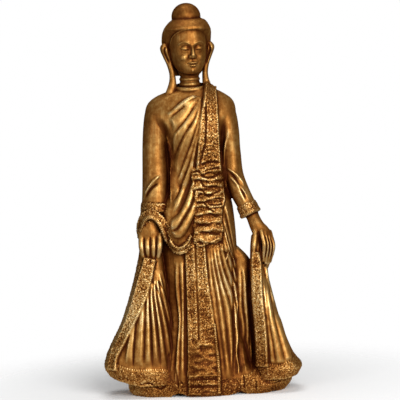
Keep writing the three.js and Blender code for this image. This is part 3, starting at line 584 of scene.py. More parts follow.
def loft(rings):
    """A closed shape through rings of points, with a cap at each end"""
    rings = np.asarray(rings, float)
    rows, count = rings.shape[:2]
    i, j = np.meshgrid(np.arange(rows - 1), np.arange(count), indexing="ij")
    this, beyond, beside = i * count, (i + 1) * count, (j + 1) % count
    quads = np.stack([this + j, this + beside, beyond + beside, beyond + j], -1)
    faces = quads.reshape(-1, 4).tolist()
    last, centre = (rows - 1) * count, rows * count
    around = [(a, (a + 1) % count) for a in range(count)]
    faces += [[centre, b, a] for a, b in around]
    faces += [[centre + 1, last + a, last + b] for a, b in around]
    points = np.concatenate([rings.reshape(-1, 3), rings[:1].mean(1), rings[-1:].mean(1)])
    shapes.append((points, faces))


class Upright:
    """An upright form with rounded sections. push moves its front and back out or in, and lift raises it."""

    def __init__(self, rows, exponent, push=None, lift=None):
        self.rows, self.exponent, self.push, self.lift = rows, exponent, push, lift

    def body(self, step=2.5, sides=128):
        low, high = self.rows[0][0], self.rows[-1][0]
        z = np.linspace(low, high, int((high - low) / step) + 2)[:, None]
        left, right, front, back = np.moveaxis(between(self.rows, z[:, 0]), 1, 0)[:, :, None]
        angle = np.linspace(0, 2 * math.pi, sides, endpoint=False)[None]
        x = (left + right) / 2 + (right - left) / 2 * signed_power(np.cos(angle), 2 / self.exponent)
        y = (front + back) / 2 + (back - front) / 2 * signed_power(np.sin(angle), 2 / self.exponent)
        z = z + 0 * x
        if self.push:
            y = y + self.push(x, z) * np.sin(angle)
        if self.lift:
            z = z + self.lift(x, z)
        loft(np.stack([x, y, z], -1))

    def skin(self, facing):
        """The depth of its front or back surface at any x and z"""
        def depth(x, z):
            left, right, front, back = np.moveaxis(between(self.rows, z), -1, 0)
            across = np.minimum(np.abs((2 * x - left - right) / (right - left)), FORM_EDGE)
            share = (1 - across ** self.exponent) ** (1 / self.exponent)
            return (front + back) / 2 + facing * (back - front) / 2 * share
        return depth


def limb(rows, sides=40, per_row=8, place=None):
    """A rounded limb along a middle line. place moves its points to where they belong."""
    rows = np.array(rows, float)
    last = len(rows) - 1
    t = np.linspace(0, 1, last * per_row + 1)
    points = smooth_line(rows[:, :3], t)
    sizes = between([[i, *row[3:]] for i, row in enumerate(rows)], t * last)
    along = unit(np.gradient(points, axis=0))
    forward = unit(np.array([0, FRONT, 0]) + along * along[:, 1:2])
    side = np.cross(forward, along)
    angle = np.linspace(0, 2 * math.pi, sides, endpoint=False)[None, :, None]
    rings = (points[:, None] + side[:, None] * sizes[:, :1, None] * np.cos(angle)
             + forward[:, None] * sizes[:, 1:, None] * np.sin(angle))
    loft(place(rings) if place else rings)


def limb_skin(rows):
    """The front surface of a limb that is near enough upright"""
    by_height = sorted([z, x, y, across, deep] for x, y, z, across, deep in rows)

    def depth(x, z):
        middle, y, across, deep = np.moveaxis(between(by_height, z), -1, 0)
        share = np.minimum(np.abs((x - middle) / across), LIMB_EDGE)
        return y - deep * np.sqrt(1 - share * share)
    return depth


def outward(skin, x, z, facing):
    """The outward direction of a skin, by how its depth changes around a place"""
    reach = 0.5
    slope_x = (skin(x + reach, z) - skin(x - reach, z)) / (2 * reach)
    slope_z = (skin(x, z + reach) - skin(x, z - reach)) / (2 * reach)
    return unit(np.stack([-slope_x * facing, np.full_like(slope_x, facing), -slope_z * facing], -1))


def raised(skin, x, z, height, facing=FRONT):
    """The points at a height over a skin"""
    foot = np.stack([x, skin(x, z), z], -1)
    return foot + outward(skin, x, z, facing) * np.asarray(height)[..., None]


class Line:
    """A line in space with an outward side. It knows how far along it and beside it any point lies."""

    def __init__(self, points, out):
        self.points = points
        self.along = unit(np.gradient(points, axis=0))
        self.out = unit(out)
        self.across = unit(np.cross(self.along, self.out))
        steps = np.linalg.norm(np.diff(points, axis=0), axis=1)
        self.place = np.concatenate([[0], np.cumsum(steps)])
        self.length = self.place[-1]

    def near(self, points, at_once=20000):
        """How far along, beside and above the line each point is"""
        nearest = np.empty(len(points), int)
        for start in range(0, len(points), at_once):
            block = points[start:start + at_once]
            nearest[start:start + at_once] = ((block[:, None] - self.points[None]) ** 2).sum(-1).argmin(1)
        delta = points - self.points[nearest]
        split = [(delta * side[nearest]).sum(1) for side in (self.along, self.across, self.out)]
        return self.place[nearest] + split[0], split[1], split[2]


def carved_line(skin, points, facing=FRONT):
    """A line on a surface, through points of x and z"""
    x, z = smooth_line(points, np.linspace(0, 1, LINE_POINTS)).T
    return Line(raised(skin, x, z, np.zeros(LINE_POINTS), facing), outward(skin, x, z, facing))


def free_line(points, middle=None):
    """A line in space that faces away from a middle point or, with none given, from the upright axis"""
    line = smooth_line(points, np.linspace(0, 1, LINE_POINTS))
    return Line(line, line - np.array(middle) if middle else line * [1, 1, 0])


def strip(line, across, outwards, place=None):
    """A strip along a line, from the places of its section's points across the line and outward from it"""
    rings = (line.points[:, None] + line.across[:, None] * across[..., None]
             + line.out[:, None] * outwards[..., None])
    loft(place(rings) if place else rings)


def fold(line, width, rise, start=0.35, end=0.4, place=None):
    """A rolled fold. It narrows to these shares of its width at its ends, and its rise dies away there."""
    # by share of the length: shares of the width and of the rise
    swell = [
        [0, start, 0.2],
        [0.2, (1 + start) / 2, 1],
        [0.55, 1, 1],
        [0.85, (1 + end) / 2, 1],
        [1, end, 0.15],
    ]
    wide, high = between(swell, line.place / line.length).T
    across = np.linspace(-1, 1, FOLD_SIDES)[None]
    arch = (1 - across ** 2) ** ROLL_POWER
    half = (width / 2 * wide)[:, None]
    outwards = arch * (rise * high)[:, None] - SINK * (1 - arch)
    strip(line, half * across, outwards, place)


def skin_fold(skin, row, **settings):
    """A rolled fold on a skin, from its row of a width, a rise and a line"""
    width, rise, points = row
    fold(carved_line(skin, points), width, rise, **settings)


def band(line, widths, rise, rim):
    """A flat raised band with a low rolled rim along each edge"""
    half = between(widths, line.place / line.length)[:, :1] / 2
    inward, rise_share, rim_share = np.array(BORDER_SECTION).T
    across = np.maximum(half - inward, LEAST_HALF_WIDTH)
    up = rise * rise_share + rim * rim_share
    up[0] = -SINK
    places = np.concatenate([-across, across[:, ::-1]], 1)
    strip(line, places, np.broadcast_to(np.concatenate([up, up[::-1]]), places.shape))


def drapery(skin, rows):
    """Cloth in folds over a skin. Crests are round and creases sharp; its rims dive under the surface."""
    t = np.linspace(0, 1, DRAPERY_POINTS)
    full = between(DRAPERY_SWELL, t)[:, 0]
    sunk = np.full(DRAPERY_POINTS, -SINK - RIM_DEPTH)
    ridges = [smooth_line(points, t) for _, points in rows]
    heights = [height for height, _ in rows]
    places, rises = [ridges[0]], [sunk]
    for k in range(len(rows) - 1):
        start, end = heights[k], heights[k + 1]
        for share in np.linspace(0, 1, FOLD_STEPS)[:-1]:
            part = 1 - (1 - share) ** CREASE_POWER if end > start else share ** CREASE_POWER
            places.append(ridges[k] + (ridges[k + 1] - ridges[k]) * share)
            rises.append((start + (end - start) * part) * full)
    places += [ridges[-1], ridges[-1]]
    rises += [heights[-1] * full, sunk]
    places, rises = np.stack(places, 1), np.stack(rises, 1)
    loft(raised(skin, places[..., 0], places[..., 1], rises))


def spliced(*parts, count=240, rounds=12):
    """One line through several, made even and a little smoother"""
    points = np.concatenate([part.points for part in parts])
    out = np.concatenate([part.out for part in parts])
    place = np.concatenate([[0], np.cumsum(np.linalg.norm(np.diff(points, axis=0), axis=1))])
    even = np.linspace(0, place[-1], count)
    columns = [np.interp(even, place, column) for column in np.concatenate([points, out], 1).T]
    values = np.stack(columns, 1)
    for _ in range(rounds):
        values[1:-1] = (values[:-2] + 2 * values[1:-1] + values[2:]) / 4
    return Line(values[:, :3], values[:, 3:])


def pleats(skin, rows, facing=FRONT, margin=3, roundness=2.6, valley=VALLEY_RISE, swell=PLEAT_SWELL):
    """A field of pleats on a skin. Its rim dives under the surface, and its back lies inside the form."""
    t = np.linspace(0, 1, LINE_POINTS)
    crests = np.stack([smooth_line(line, t) for _, line in rows], 1)
    rises = np.array([rise for rise, _ in rows])
    first = crests[:, 0] + unit(crests[:, 0] - crests[:, 1]) * margin
    last = crests[:, -1] + unit(crests[:, -1] - crests[:, -2]) * margin
    lows = np.concatenate([first[:, None], (crests[:, 1:] + crests[:, :-1]) / 2, last[:, None]], 1)
    full = between(swell, t)[:, 0]
    depth = np.full(len(rows) + 1, valley)
    depth[[0, -1]] = -RIM_DEPTH
    share = np.linspace(0, 1, FOLD_STEPS)
    slope = list(zip(share, 1 - (1 - share) ** roundness))
    places, heights = [], []
    for k, rise in enumerate(rises):
        top = rise * full
        for low, steps in ((k, slope[:-1]), (k + 1, slope[:0:-1])):
            for across, up in steps:
                places.append(lows[:, low] + (crests[:, k] - lows[:, low]) * across)
                heights.append(depth[low] + (top - depth[low]) * up)
    places += [lows[:, -1], lows[:, -1], lows[:, 0]]
    heights.append(np.full(LINE_POINTS, depth[-1]))
    heights += [np.full(LINE_POINTS, -SINK - RIM_DEPTH)] * 2
    places, heights = np.stack(places, 1), np.stack(heights, 1)
    loft(raised(skin, places[..., 0], places[..., 1], heights, facing))


def gather(skin, rows, lip, hollow, sway, count=25, levels=9):
    """Gathered cloth: layers that hang over each other, each hollow above and full at its wavy lower lip"""
    share = np.linspace(0, 1, count)
    rings = []
    for i, (above, row) in enumerate(zip(rows, rows[1:])):
        drop = above[0] - row[0]
        edges = [[0, *above[1:]], [1, *row[1:]]]
        # by share of the way down: how far the cloth stands out
        profile = [
            [0, hollow],
            [0.25, hollow + (lip - hollow) * 0.45],
            [0.6, lip * 0.93],
            [0.82, lip],
            [0.95, lip * 0.9],
            [1, hollow + 0.6],
        ]
        turn = 1 if i % 2 else -1
        short_waves = np.sin(2 * math.pi * (SHORT_WAVES * share + SHORT_WAVE_STEP * i))
        wave = sway * turn * np.sin(2 * math.pi * (share + LONG_WAVE_START))
        wave = wave + SHORT_WAVE_SHARE * sway * short_waves
        full = SIDE_FULLNESS + MIDDLE_FULLNESS * np.sin(math.pi * share)
        for u in np.linspace(0, 1, levels):
            left, right = between(edges, [u])[0] * (1 - OWN_ROW) + np.array(row[1:]) * OWN_ROW
            level = above[0] - drop * (LAYER_START + LAYER_SPAN * u)
            rise = between(profile, [u])[0, 0]
            shown = raised(skin, left + (right - left) * share, level + wave, rise * full)
            sunk = raised(skin, np.array([right, left]), np.full(2, level), np.full(2, -SINK))
            rings.append(np.concatenate([shown, sunk]))
    loft(rings)


def outer_lift(start, end, height):
    """The outer corner of a held edge of the robe hangs higher than the rest of its hem."""
    def lift(x, z):
        share = np.clip((x - start) / (end - start), 0, 1)
        return height * share * np.clip(1 - (z - LIFT_WHOLE_TO) / LIFT_FADES_OVER, 0, 1)
    return lift


def hem_wave(x, z):
    wave = np.cos(2 * math.pi * (x - HEM_WAVE_MIDDLE) / HEM_WAVE_LENGTH)
    return HEM_WAVE_DEPTH * wave * (1 - z / HEM[-1][0])


robe = Upright(ROBE, ROBE_POWER)
hem = Upright(HEM, HEM_POWER, push=hem_wave)
right_flare = Upright(RIGHT_FLARE, FLARE_POWER, lift=outer_lift(**RIGHT_FLARE_LIFT))
left_flare = Upright(LEFT_FLARE, FLARE_POWER, lift=outer_lift(**LEFT_FLARE_LIFT))
web = Upright(WEB, WEB_POWER)
overfold = Upright(OVERFOLD, OVERFOLD_POWER)
sleeve_mouth = Upright(SLEEVE_MOUTH, MOUTH_POWER)
skull = Upright(SKULL, SKULL_POWER)
hair = Upright(HAIR, HAIR_POWER)


def front(x, z):
    """The front of the robe with its overfold"""
    over = np.where(z > OVERFOLD[0][0], overfold.skin(FRONT)(x, z), 0)
    return np.minimum(robe.skin(FRONT)(x, z), over)


def skirt_or_web(x, z):
    """Whichever of the skirt and the web beside it stands further forward"""
    return np.minimum(front(x, z), web.skin(FRONT)(x, z))


def turned(points, back=False, turn=HEAD_TURN):
    """From the head's own frame to the figure's, or back"""
    x, y, z = np.moveaxis(np.asarray(points, float), -1, 0)
    cos, sin = math.cos(turn), math.sin(turn)
    if back:
        return np.stack([(x - HEAD_X) * cos + y * sin, y * cos - (x - HEAD_X) * sin, z], -1)
    return np.stack([x * cos - y * sin + HEAD_X, x * sin + y * cos, z], -1)


lines = {
    "shoulder": spliced(
        carved_line(front, SHOULDER_BORDER), free_line(SHOULDER_PASS, SHOULDER_MIDDLE),
        carved_line(robe.skin(BACK), BACK_BORDER, BACK),
    ),
    "panel": carved_line(front, PANEL),
    "right_panel": carved_line(front, RIGHT_PANEL),
    "left_panel": carved_line(front, LEFT_PANEL),
    "panel_edge": carved_line(front, PANEL_EDGE),
    "right_flare": carved_line(right_flare.skin(FRONT), RIGHT_FLARE_BORDER),
    "left_flare": carved_line(left_flare.skin(FRONT), LEFT_FLARE_BORDER),
    "trim": spliced(free_line(MOUTH_TRIM, WRIST_MIDDLE), carved_line(front, OVERFOLD_TRIM)),
}


def robe_forms():
    for form in (robe, hem, right_flare, left_flare, web, overfold, sleeve_mouth):
        form.body()
    for rows in (RIGHT_SLEEVE, LEFT_SLEEVE, RIGHT_CUFF, LEFT_CUFF):
        limb(rows, sides=64)


def robe_folds():
    limb(CHEST_PADDING)
    drapery(front, CHEST_FOLDS)
    drapery(front, OVERFOLD_FOLDS)
    pleats(front, SKIRT_PLEATS, roundness=2)
    pleats(front, UNDER_SKIRT_PLEATS)
    pleats(right_flare.skin(FRONT), RIGHT_FLARE_PLEATS, roundness=1.8)
    pleats(left_flare.skin(FRONT), LEFT_FLARE_PLEATS, valley=LEFT_FLARE_VALLEY_RISE, swell=LEFT_FLARE_SWELL)
    pleats(web.skin(FRONT), WEB_PLEATS)
    skin_fold(skirt_or_web, WEB_EDGE)
    pleats(robe.skin(BACK), BACK_PLEATS, BACK, margin=8)
    skin_fold(front, ARM_SIDE_FOLD)
    for sleeve, folds in ((RIGHT_SLEEVE, RIGHT_SLEEVE_FOLDS), (LEFT_SLEEVE, LEFT_SLEEVE_FOLDS)):
        for row in folds:
            skin_fold(limb_skin(sleeve), row)


def robe_borders():
    for name, (widths, rise, rim) in BORDERS.items():
        band(lines[name], widths, rise, rim)
    gather(front, WAIST_GATHER, **WAIST_GATHER_SIZES)
    gather(front, FOOT_GATHER, **FOOT_GATHER_SIZES)


def fingers(places):
    """The middle fingers start and end a little further out than the outer ones."""
    for share in np.linspace(0, 1, FINGERS):
        longer = math.sin(math.pi * (ARC_START + ARC_SPAN * share))
        knuckle, bend, tip = (np.array(places[key][0]) * (1 - share) + np.array(places[key][1]) * share
                              for key in ("knuckles", "bends", "tips"))
        knuckle[2] += KNUCKLES_RISE * longer
        tip[2] -= TIPS_REACH * longer
        joints = (knuckle + FINGER_ROOT, knuckle, bend, tip, tip + (bend - knuckle) * FINGER_END)
        limb([[*joint, places["radius"] * across, places["radius"] * deep]
              for joint, (across, deep) in zip(joints, FINGER_SIZES)], sides=THIN_SIDES)


def hands():
    for rows in (RIGHT_PALM, LEFT_PALM):
        limb(rows)
    for rows in (RIGHT_THUMB, LEFT_THUMB):
        limb(rows, sides=THIN_SIDES)
    for places in (RIGHT_FINGERS, LEFT_FINGERS):
        fingers(places)


def neck(rows=60, sides=72):
    z = np.linspace(NECK[0][0], NECK[-1][0], rows)
    across, deep = between(NECK, z).T[:, :, None]
    angle = np.linspace(0, 2 * math.pi, sides, endpoint=False)[None]
    loft(np.stack([NECK_X + across * np.cos(angle), deep * np.sin(angle), z[:, None] + 0 * angle], -1))
    bpy.ops.mesh.primitive_torus_add(major_segments=96, minor_segments=20, major_radius=COLLAR["across"],
                                     minor_radius=COLLAR["thick"], location=(NECK_X, 0, COLLAR_Z))
    collar = bpy.context.object
    collar.scale.y = COLLAR["deep"] / COLLAR["across"]
    collar.rotation_euler.x = math.atan2(COLLAR["drop"], COLLAR["deep"])
    primitives.append(collar)


def faced(points):
    """From the face's own frame to the figure's: the face looks a little further round than the head"""
    return turned(points, turn=FACE_TURN)


def ball(centre, sizes, sides=40, place=turned):
    """A round or stretched ball in the head's own frame"""
    bpy.ops.mesh.primitive_uv_sphere_add(segments=sides, ring_count=sides // 2, radius=1)
    bpy.ops.transform.resize(value=sizes)
    bpy.ops.transform.translate(value=place(centre))
    bpy.context.object.rotation_euler.z = HEAD_TURN
    primitives.append(bpy.context.object)


def mirrored(points, side):
    """Points of the left side, or the same for the right side"""
    return [[x * side, *rest] for x, *rest in points]


def face():
    skin = skull.skin(FRONT)
    eye_y = float(skin(np.array(EYE_X), np.array(EYE_Z))) + EYE_INSET
    for side in (RIGHT, LEFT):
        width, rise, brow = BROW
        skin_fold(skin, [width, rise, mirrored(brow, side)], start=0.7, place=faced)
        ball([EYE_X * side, eye_y, EYE_Z - 1], EYE_SIZES, place=faced)
    skin_fold(skin, UPPER_LIP, start=0.3, end=0.3, place=faced)
    skin_fold(skin, LOWER_LIP, start=0.4, end=0.4, place=faced)
    limb(NOSE, place=faced)
    for side in (RIGHT, LEFT):
        ball(mirrored([NOSE_SIDE], side)[0], NOSE_SIDE_SIZES, sides=THIN_SIDES, place=faced)


def head():
    for form, place in ((skull, faced), (hair, turned)):
        mark = len(shapes)
        form.body(step=1, sides=144)
        points, faces = shapes[mark]
        shapes[mark] = (place(points), faces)
    fold(free_line(HAIRLINE), HAIRLINE_WIDTH, HAIRLINE_RISE, start=0.5, end=0.5, place=faced)
    ball([0, BUN_Y, HEIGHT - BUN_HALF_HEIGHT], [BUN_RADIUS, BUN_RADIUS, BUN_HALF_HEIGHT], sides=96)
    face()
    for side in (RIGHT, LEFT):
        limb(mirrored(EAR, side), place=turned)


# A finer mesh on the head: heights and sizes grow smoothly above the shoulders before the remesh, and go back
# after it.
FINE_FROM, FINE_TO, FINE_SCALE = 372, 402, 1.8
GROWTH_MARGIN = 20
GROWTH_STEPS = 2000
VOXEL = 0.85
TRIANGLES = 195000


def fine_scale(z):
    return 1 + (FINE_SCALE - 1) * smooth_step(z, FINE_FROM, FINE_TO)


def grown(points, back=False):
    """Points moved to where the finer mesh is made, or back from there"""
    heights = np.linspace(-GROWTH_MARGIN, HEIGHT + GROWTH_MARGIN, GROWTH_STEPS)
    scale = fine_scale(heights)
    tall = np.concatenate([[0], np.cumsum((scale[1:] + scale[:-1]) / 2 * np.diff(heights))])
    tall -= np.interp(0, heights, tall)
    if back:
        z = np.interp(points[:, 2], tall, heights)
        return np.column_stack([points[:, :2] / fine_scale(z)[:, None], z])
    z = points[:, 2]
    return np.column_stack([points[:, :2] * fine_scale(z)[:, None], np.interp(z, heights, tall)])


def read_points(mesh):
    values = np.empty(len(mesh.vertices) * 3, np.float32)
    mesh.vertices.foreach_get("co", values)
    return values.reshape(-1, 3).astype(float)


def write_points(mesh, points):
    mesh.vertices.foreach_set("co", points.astype(np.float32).ravel())
    mesh.update()


def joined():
    """One mesh object, in millimetres, of all the waiting shapes"""
    points, faces, start = [], [], 0
    for shape_points, shape_faces in shapes:
        points.append(shape_points)
        faces += [[i + start for i in face] for face in shape_faces]
        start += len(shape_points)
    mesh = bpy.data.meshes.new("carved_figure")
    mesh.from_pydata(np.concatenate(points).tolist(), [], faces)
    made = bpy.data.objects.new("carved_figure", mesh)
    bpy.context.scene.collection.objects.link(made)
    bpy.ops.object.select_all(action="DESELECT")
    for part in [made, *primitives]:
        part.select_set(True)
    bpy.context.view_layer.objects.active = made
    bpy.ops.object.join()
    write_points(mesh, grown(read_points(mesh)))
    return made


def apply_modifier(piece, kind, **settings):
    bpy.ops.object.select_all(action="DESELECT")
    piece.select_set(True)
    bpy.context.view_layer.objects.active = piece
    modifier = piece.modifiers.new(kind.lower(), kind)
    for name, value in settings.items():
        setattr(modifier, name, value)
    bpy.ops.object.modifier_apply(modifier=modifier.name)


class Surface:
    """The dense carved surface: its points and outward directions, and which points are joined"""

    def __init__(self, piece):
        self.mesh = piece.data
        count = len(self.mesh.vertices)
        self.points = grown(read_points(self.mesh), back=True)
        edges = np.empty(len(self.mesh.edges) * 2, np.int32)
        self.mesh.edges.foreach_get("vertices", edges)
        self.ends = edges.reshape(-1, 2)
        self.joins = np.bincount(edges, minlength=count).astype(float)
        self.update()

    def update(self):
        write_points(self.mesh, self.points)
        normals = np.empty(len(self.points) * 3, np.float32)
        self.mesh.vertex_normals.foreach_get("vector", normals)
        self.normals = normals.reshape(-1, 3).astype(float)

    def around(self, values):
        """The mean of each point's neighbours"""
        a, b = self.ends.T
        columns = values.reshape(len(values), -1).T
        sums = [np.bincount(a, column[b], len(values)) + np.bincount(b, column[a], len(values))
                for column in columns]
        return (np.stack(sums, -1) / self.joins[:, None]).reshape(values.shape)

    def smoothed(self, values, times, share=0.6):
        for _ in range(times):
            values = values * (1 - share) + self.around(values) * share
        return values

    def soften(self, times, shares):
        """Smooths the surface by each point's share"""
        self.points = self.points + (self.smoothed(self.points, times) - self.points) * shares[:, None]

    def raise_by(self, height):
        self.points = self.points + self.normals * height[:, None]
        self.update()

    def keep(self, name, values):
        """Values kept on the mesh for its material"""
        made = self.mesh.attributes.new(name, "FLOAT", "POINT")
        made.data.foreach_set("value", values.astype(np.float32))


class Surroundings:
    """How much of the space round a place is wood, from a grid of cells filled by looking through the figure
    from the front, and how deep the frontmost surface lies"""

    def __init__(self, piece, cell=1.6, low=(-140, -75, -20), size=(280, 140, 540), beyond=60.0, past=0.01):
        tree = BVHTree.FromObject(piece, bpy.context.evaluated_depsgraph_get())
        self.cell, self.low = cell, np.array(low)
        shape = (np.array(size) / cell).astype(int)
        self.filled = np.zeros(shape, np.float32)
        self.depth = np.full((shape[0], shape[2]), beyond)
        ahead = Vector((0, 1, 0))
        for i in range(shape[0]):
            for k in range(shape[2]):
                x, _, z = self.low + self.cell * np.array([i + 0.5, 0, k + 0.5])
                start = Vector((x, self.low[1], z))
                walls = []
                while (hit := tree.ray_cast(start, ahead))[0] is not None:
                    walls.append(hit[0].y)
                    start = hit[0] + ahead * past
                if walls:
                    self.depth[i, k] = walls[0]
                for enter, leave in zip(walls[::2], walls[1::2]):
                    a, b = ((np.array([enter, leave]) - self.low[1]) / cell + 0.5).astype(int)
                    self.filled[i, a:b, k] = 1
        # nothing below the foot counts as wood
        self.filled[:, :, :int(-self.low[2] / cell)] = 0

    def blurred(self, radius, rounds=3, spread=1.7):
        """The share of wood in a ball of about this radius round every cell, by rounds of box blurs"""
        reach = max(1, round(radius / self.cell / spread))
        width = 2 * reach + 1
        cells = self.filled
        for _ in range(rounds):
            for axis in range(3):
                pad = [(0, 0)] * 3
                pad[axis] = (reach + 1, reach)
                total = np.cumsum(np.pad(cells, pad), axis, dtype=np.float64)
                last = total.shape[axis]
                ahead = np.take(total, range(width, last), axis)
                behind = np.take(total, range(last - width), axis)
                cells = ((ahead - behind) / width).astype(np.float32)
        return cells

    def at(self, cells, points):
        """The values of cells at points, blended between neighbouring cells"""
        place = (points - self.low) / self.cell - 0.5
        limit = np.array(cells.shape) - 2
        base = np.clip(place.astype(int), 0, limit)
        share = np.clip(place - base, 0, 1)
        value = 0
        for corner in np.ndindex(2, 2, 2):
            weight = np.prod(np.where(corner, share, 1 - share), 1)
            value = value + weight * cells[tuple((base + corner).T)]
        return value

    def shown(self, points, reach):
        """1 where a point is on the surface that shows from the front, 0 where something covers it"""
        i, k = ((points[:, [0, 2]] - self.low[[0, 2]]) / self.cell).astype(int).T
        return 1 - smooth_step(points[:, 1] - self.depth[i, k], reach / 2, reach)


# Numbers that scatter the values of neighbouring cells
SCATTER = np.array([[127.1, 269.5, 419.2], [311.7, 183.3, 371.9], [74.7, 246.1, 53.9]])
SCATTER_SCALE = 43758.5453
# How far into its cell a grain's middle starts, and how much of the cell it may lie in
GRAIN_START = 0.15
GRAIN_ROOM = 0.7
# A grain rises between these distances from the middle of the gap beside it.
GRAIN_GAP, GRAIN_SHOULDER = 0.02, 0.5


def jitter(cells, seed):
    """Three values from 0 to 1 for every cell, the same each time"""
    return np.sin(cells @ SCATTER + seed) * SCATTER_SCALE % 1


def grains(points, size, seed=0, far=9.0):
    """Rounded grains of about this size: 1 at their middles and 0 between them"""
    place = points / size
    base = np.floor(place)
    nearest, second = np.full(len(points), far), np.full(len(points), far)
    for corner in np.ndindex(3, 3, 3):
        cell = base + np.array(corner) - 1
        gap = np.linalg.norm(cell + GRAIN_START + GRAIN_ROOM * jitter(cell, seed) - place, axis=1)
        second = np.where(gap < nearest, nearest, np.minimum(second, gap))
        nearest = np.minimum(nearest, gap)
    return smooth_step(second - nearest, GRAIN_GAP, GRAIN_SHOULDER)


def beads(along, beside, pitch, radius):
    """A row of beads along a line"""
    gap = (along / pitch % 1 - 0.5) * pitch
    return np.sqrt(np.maximum(1 - (gap ** 2 + beside ** 2) / radius ** 2, 0))


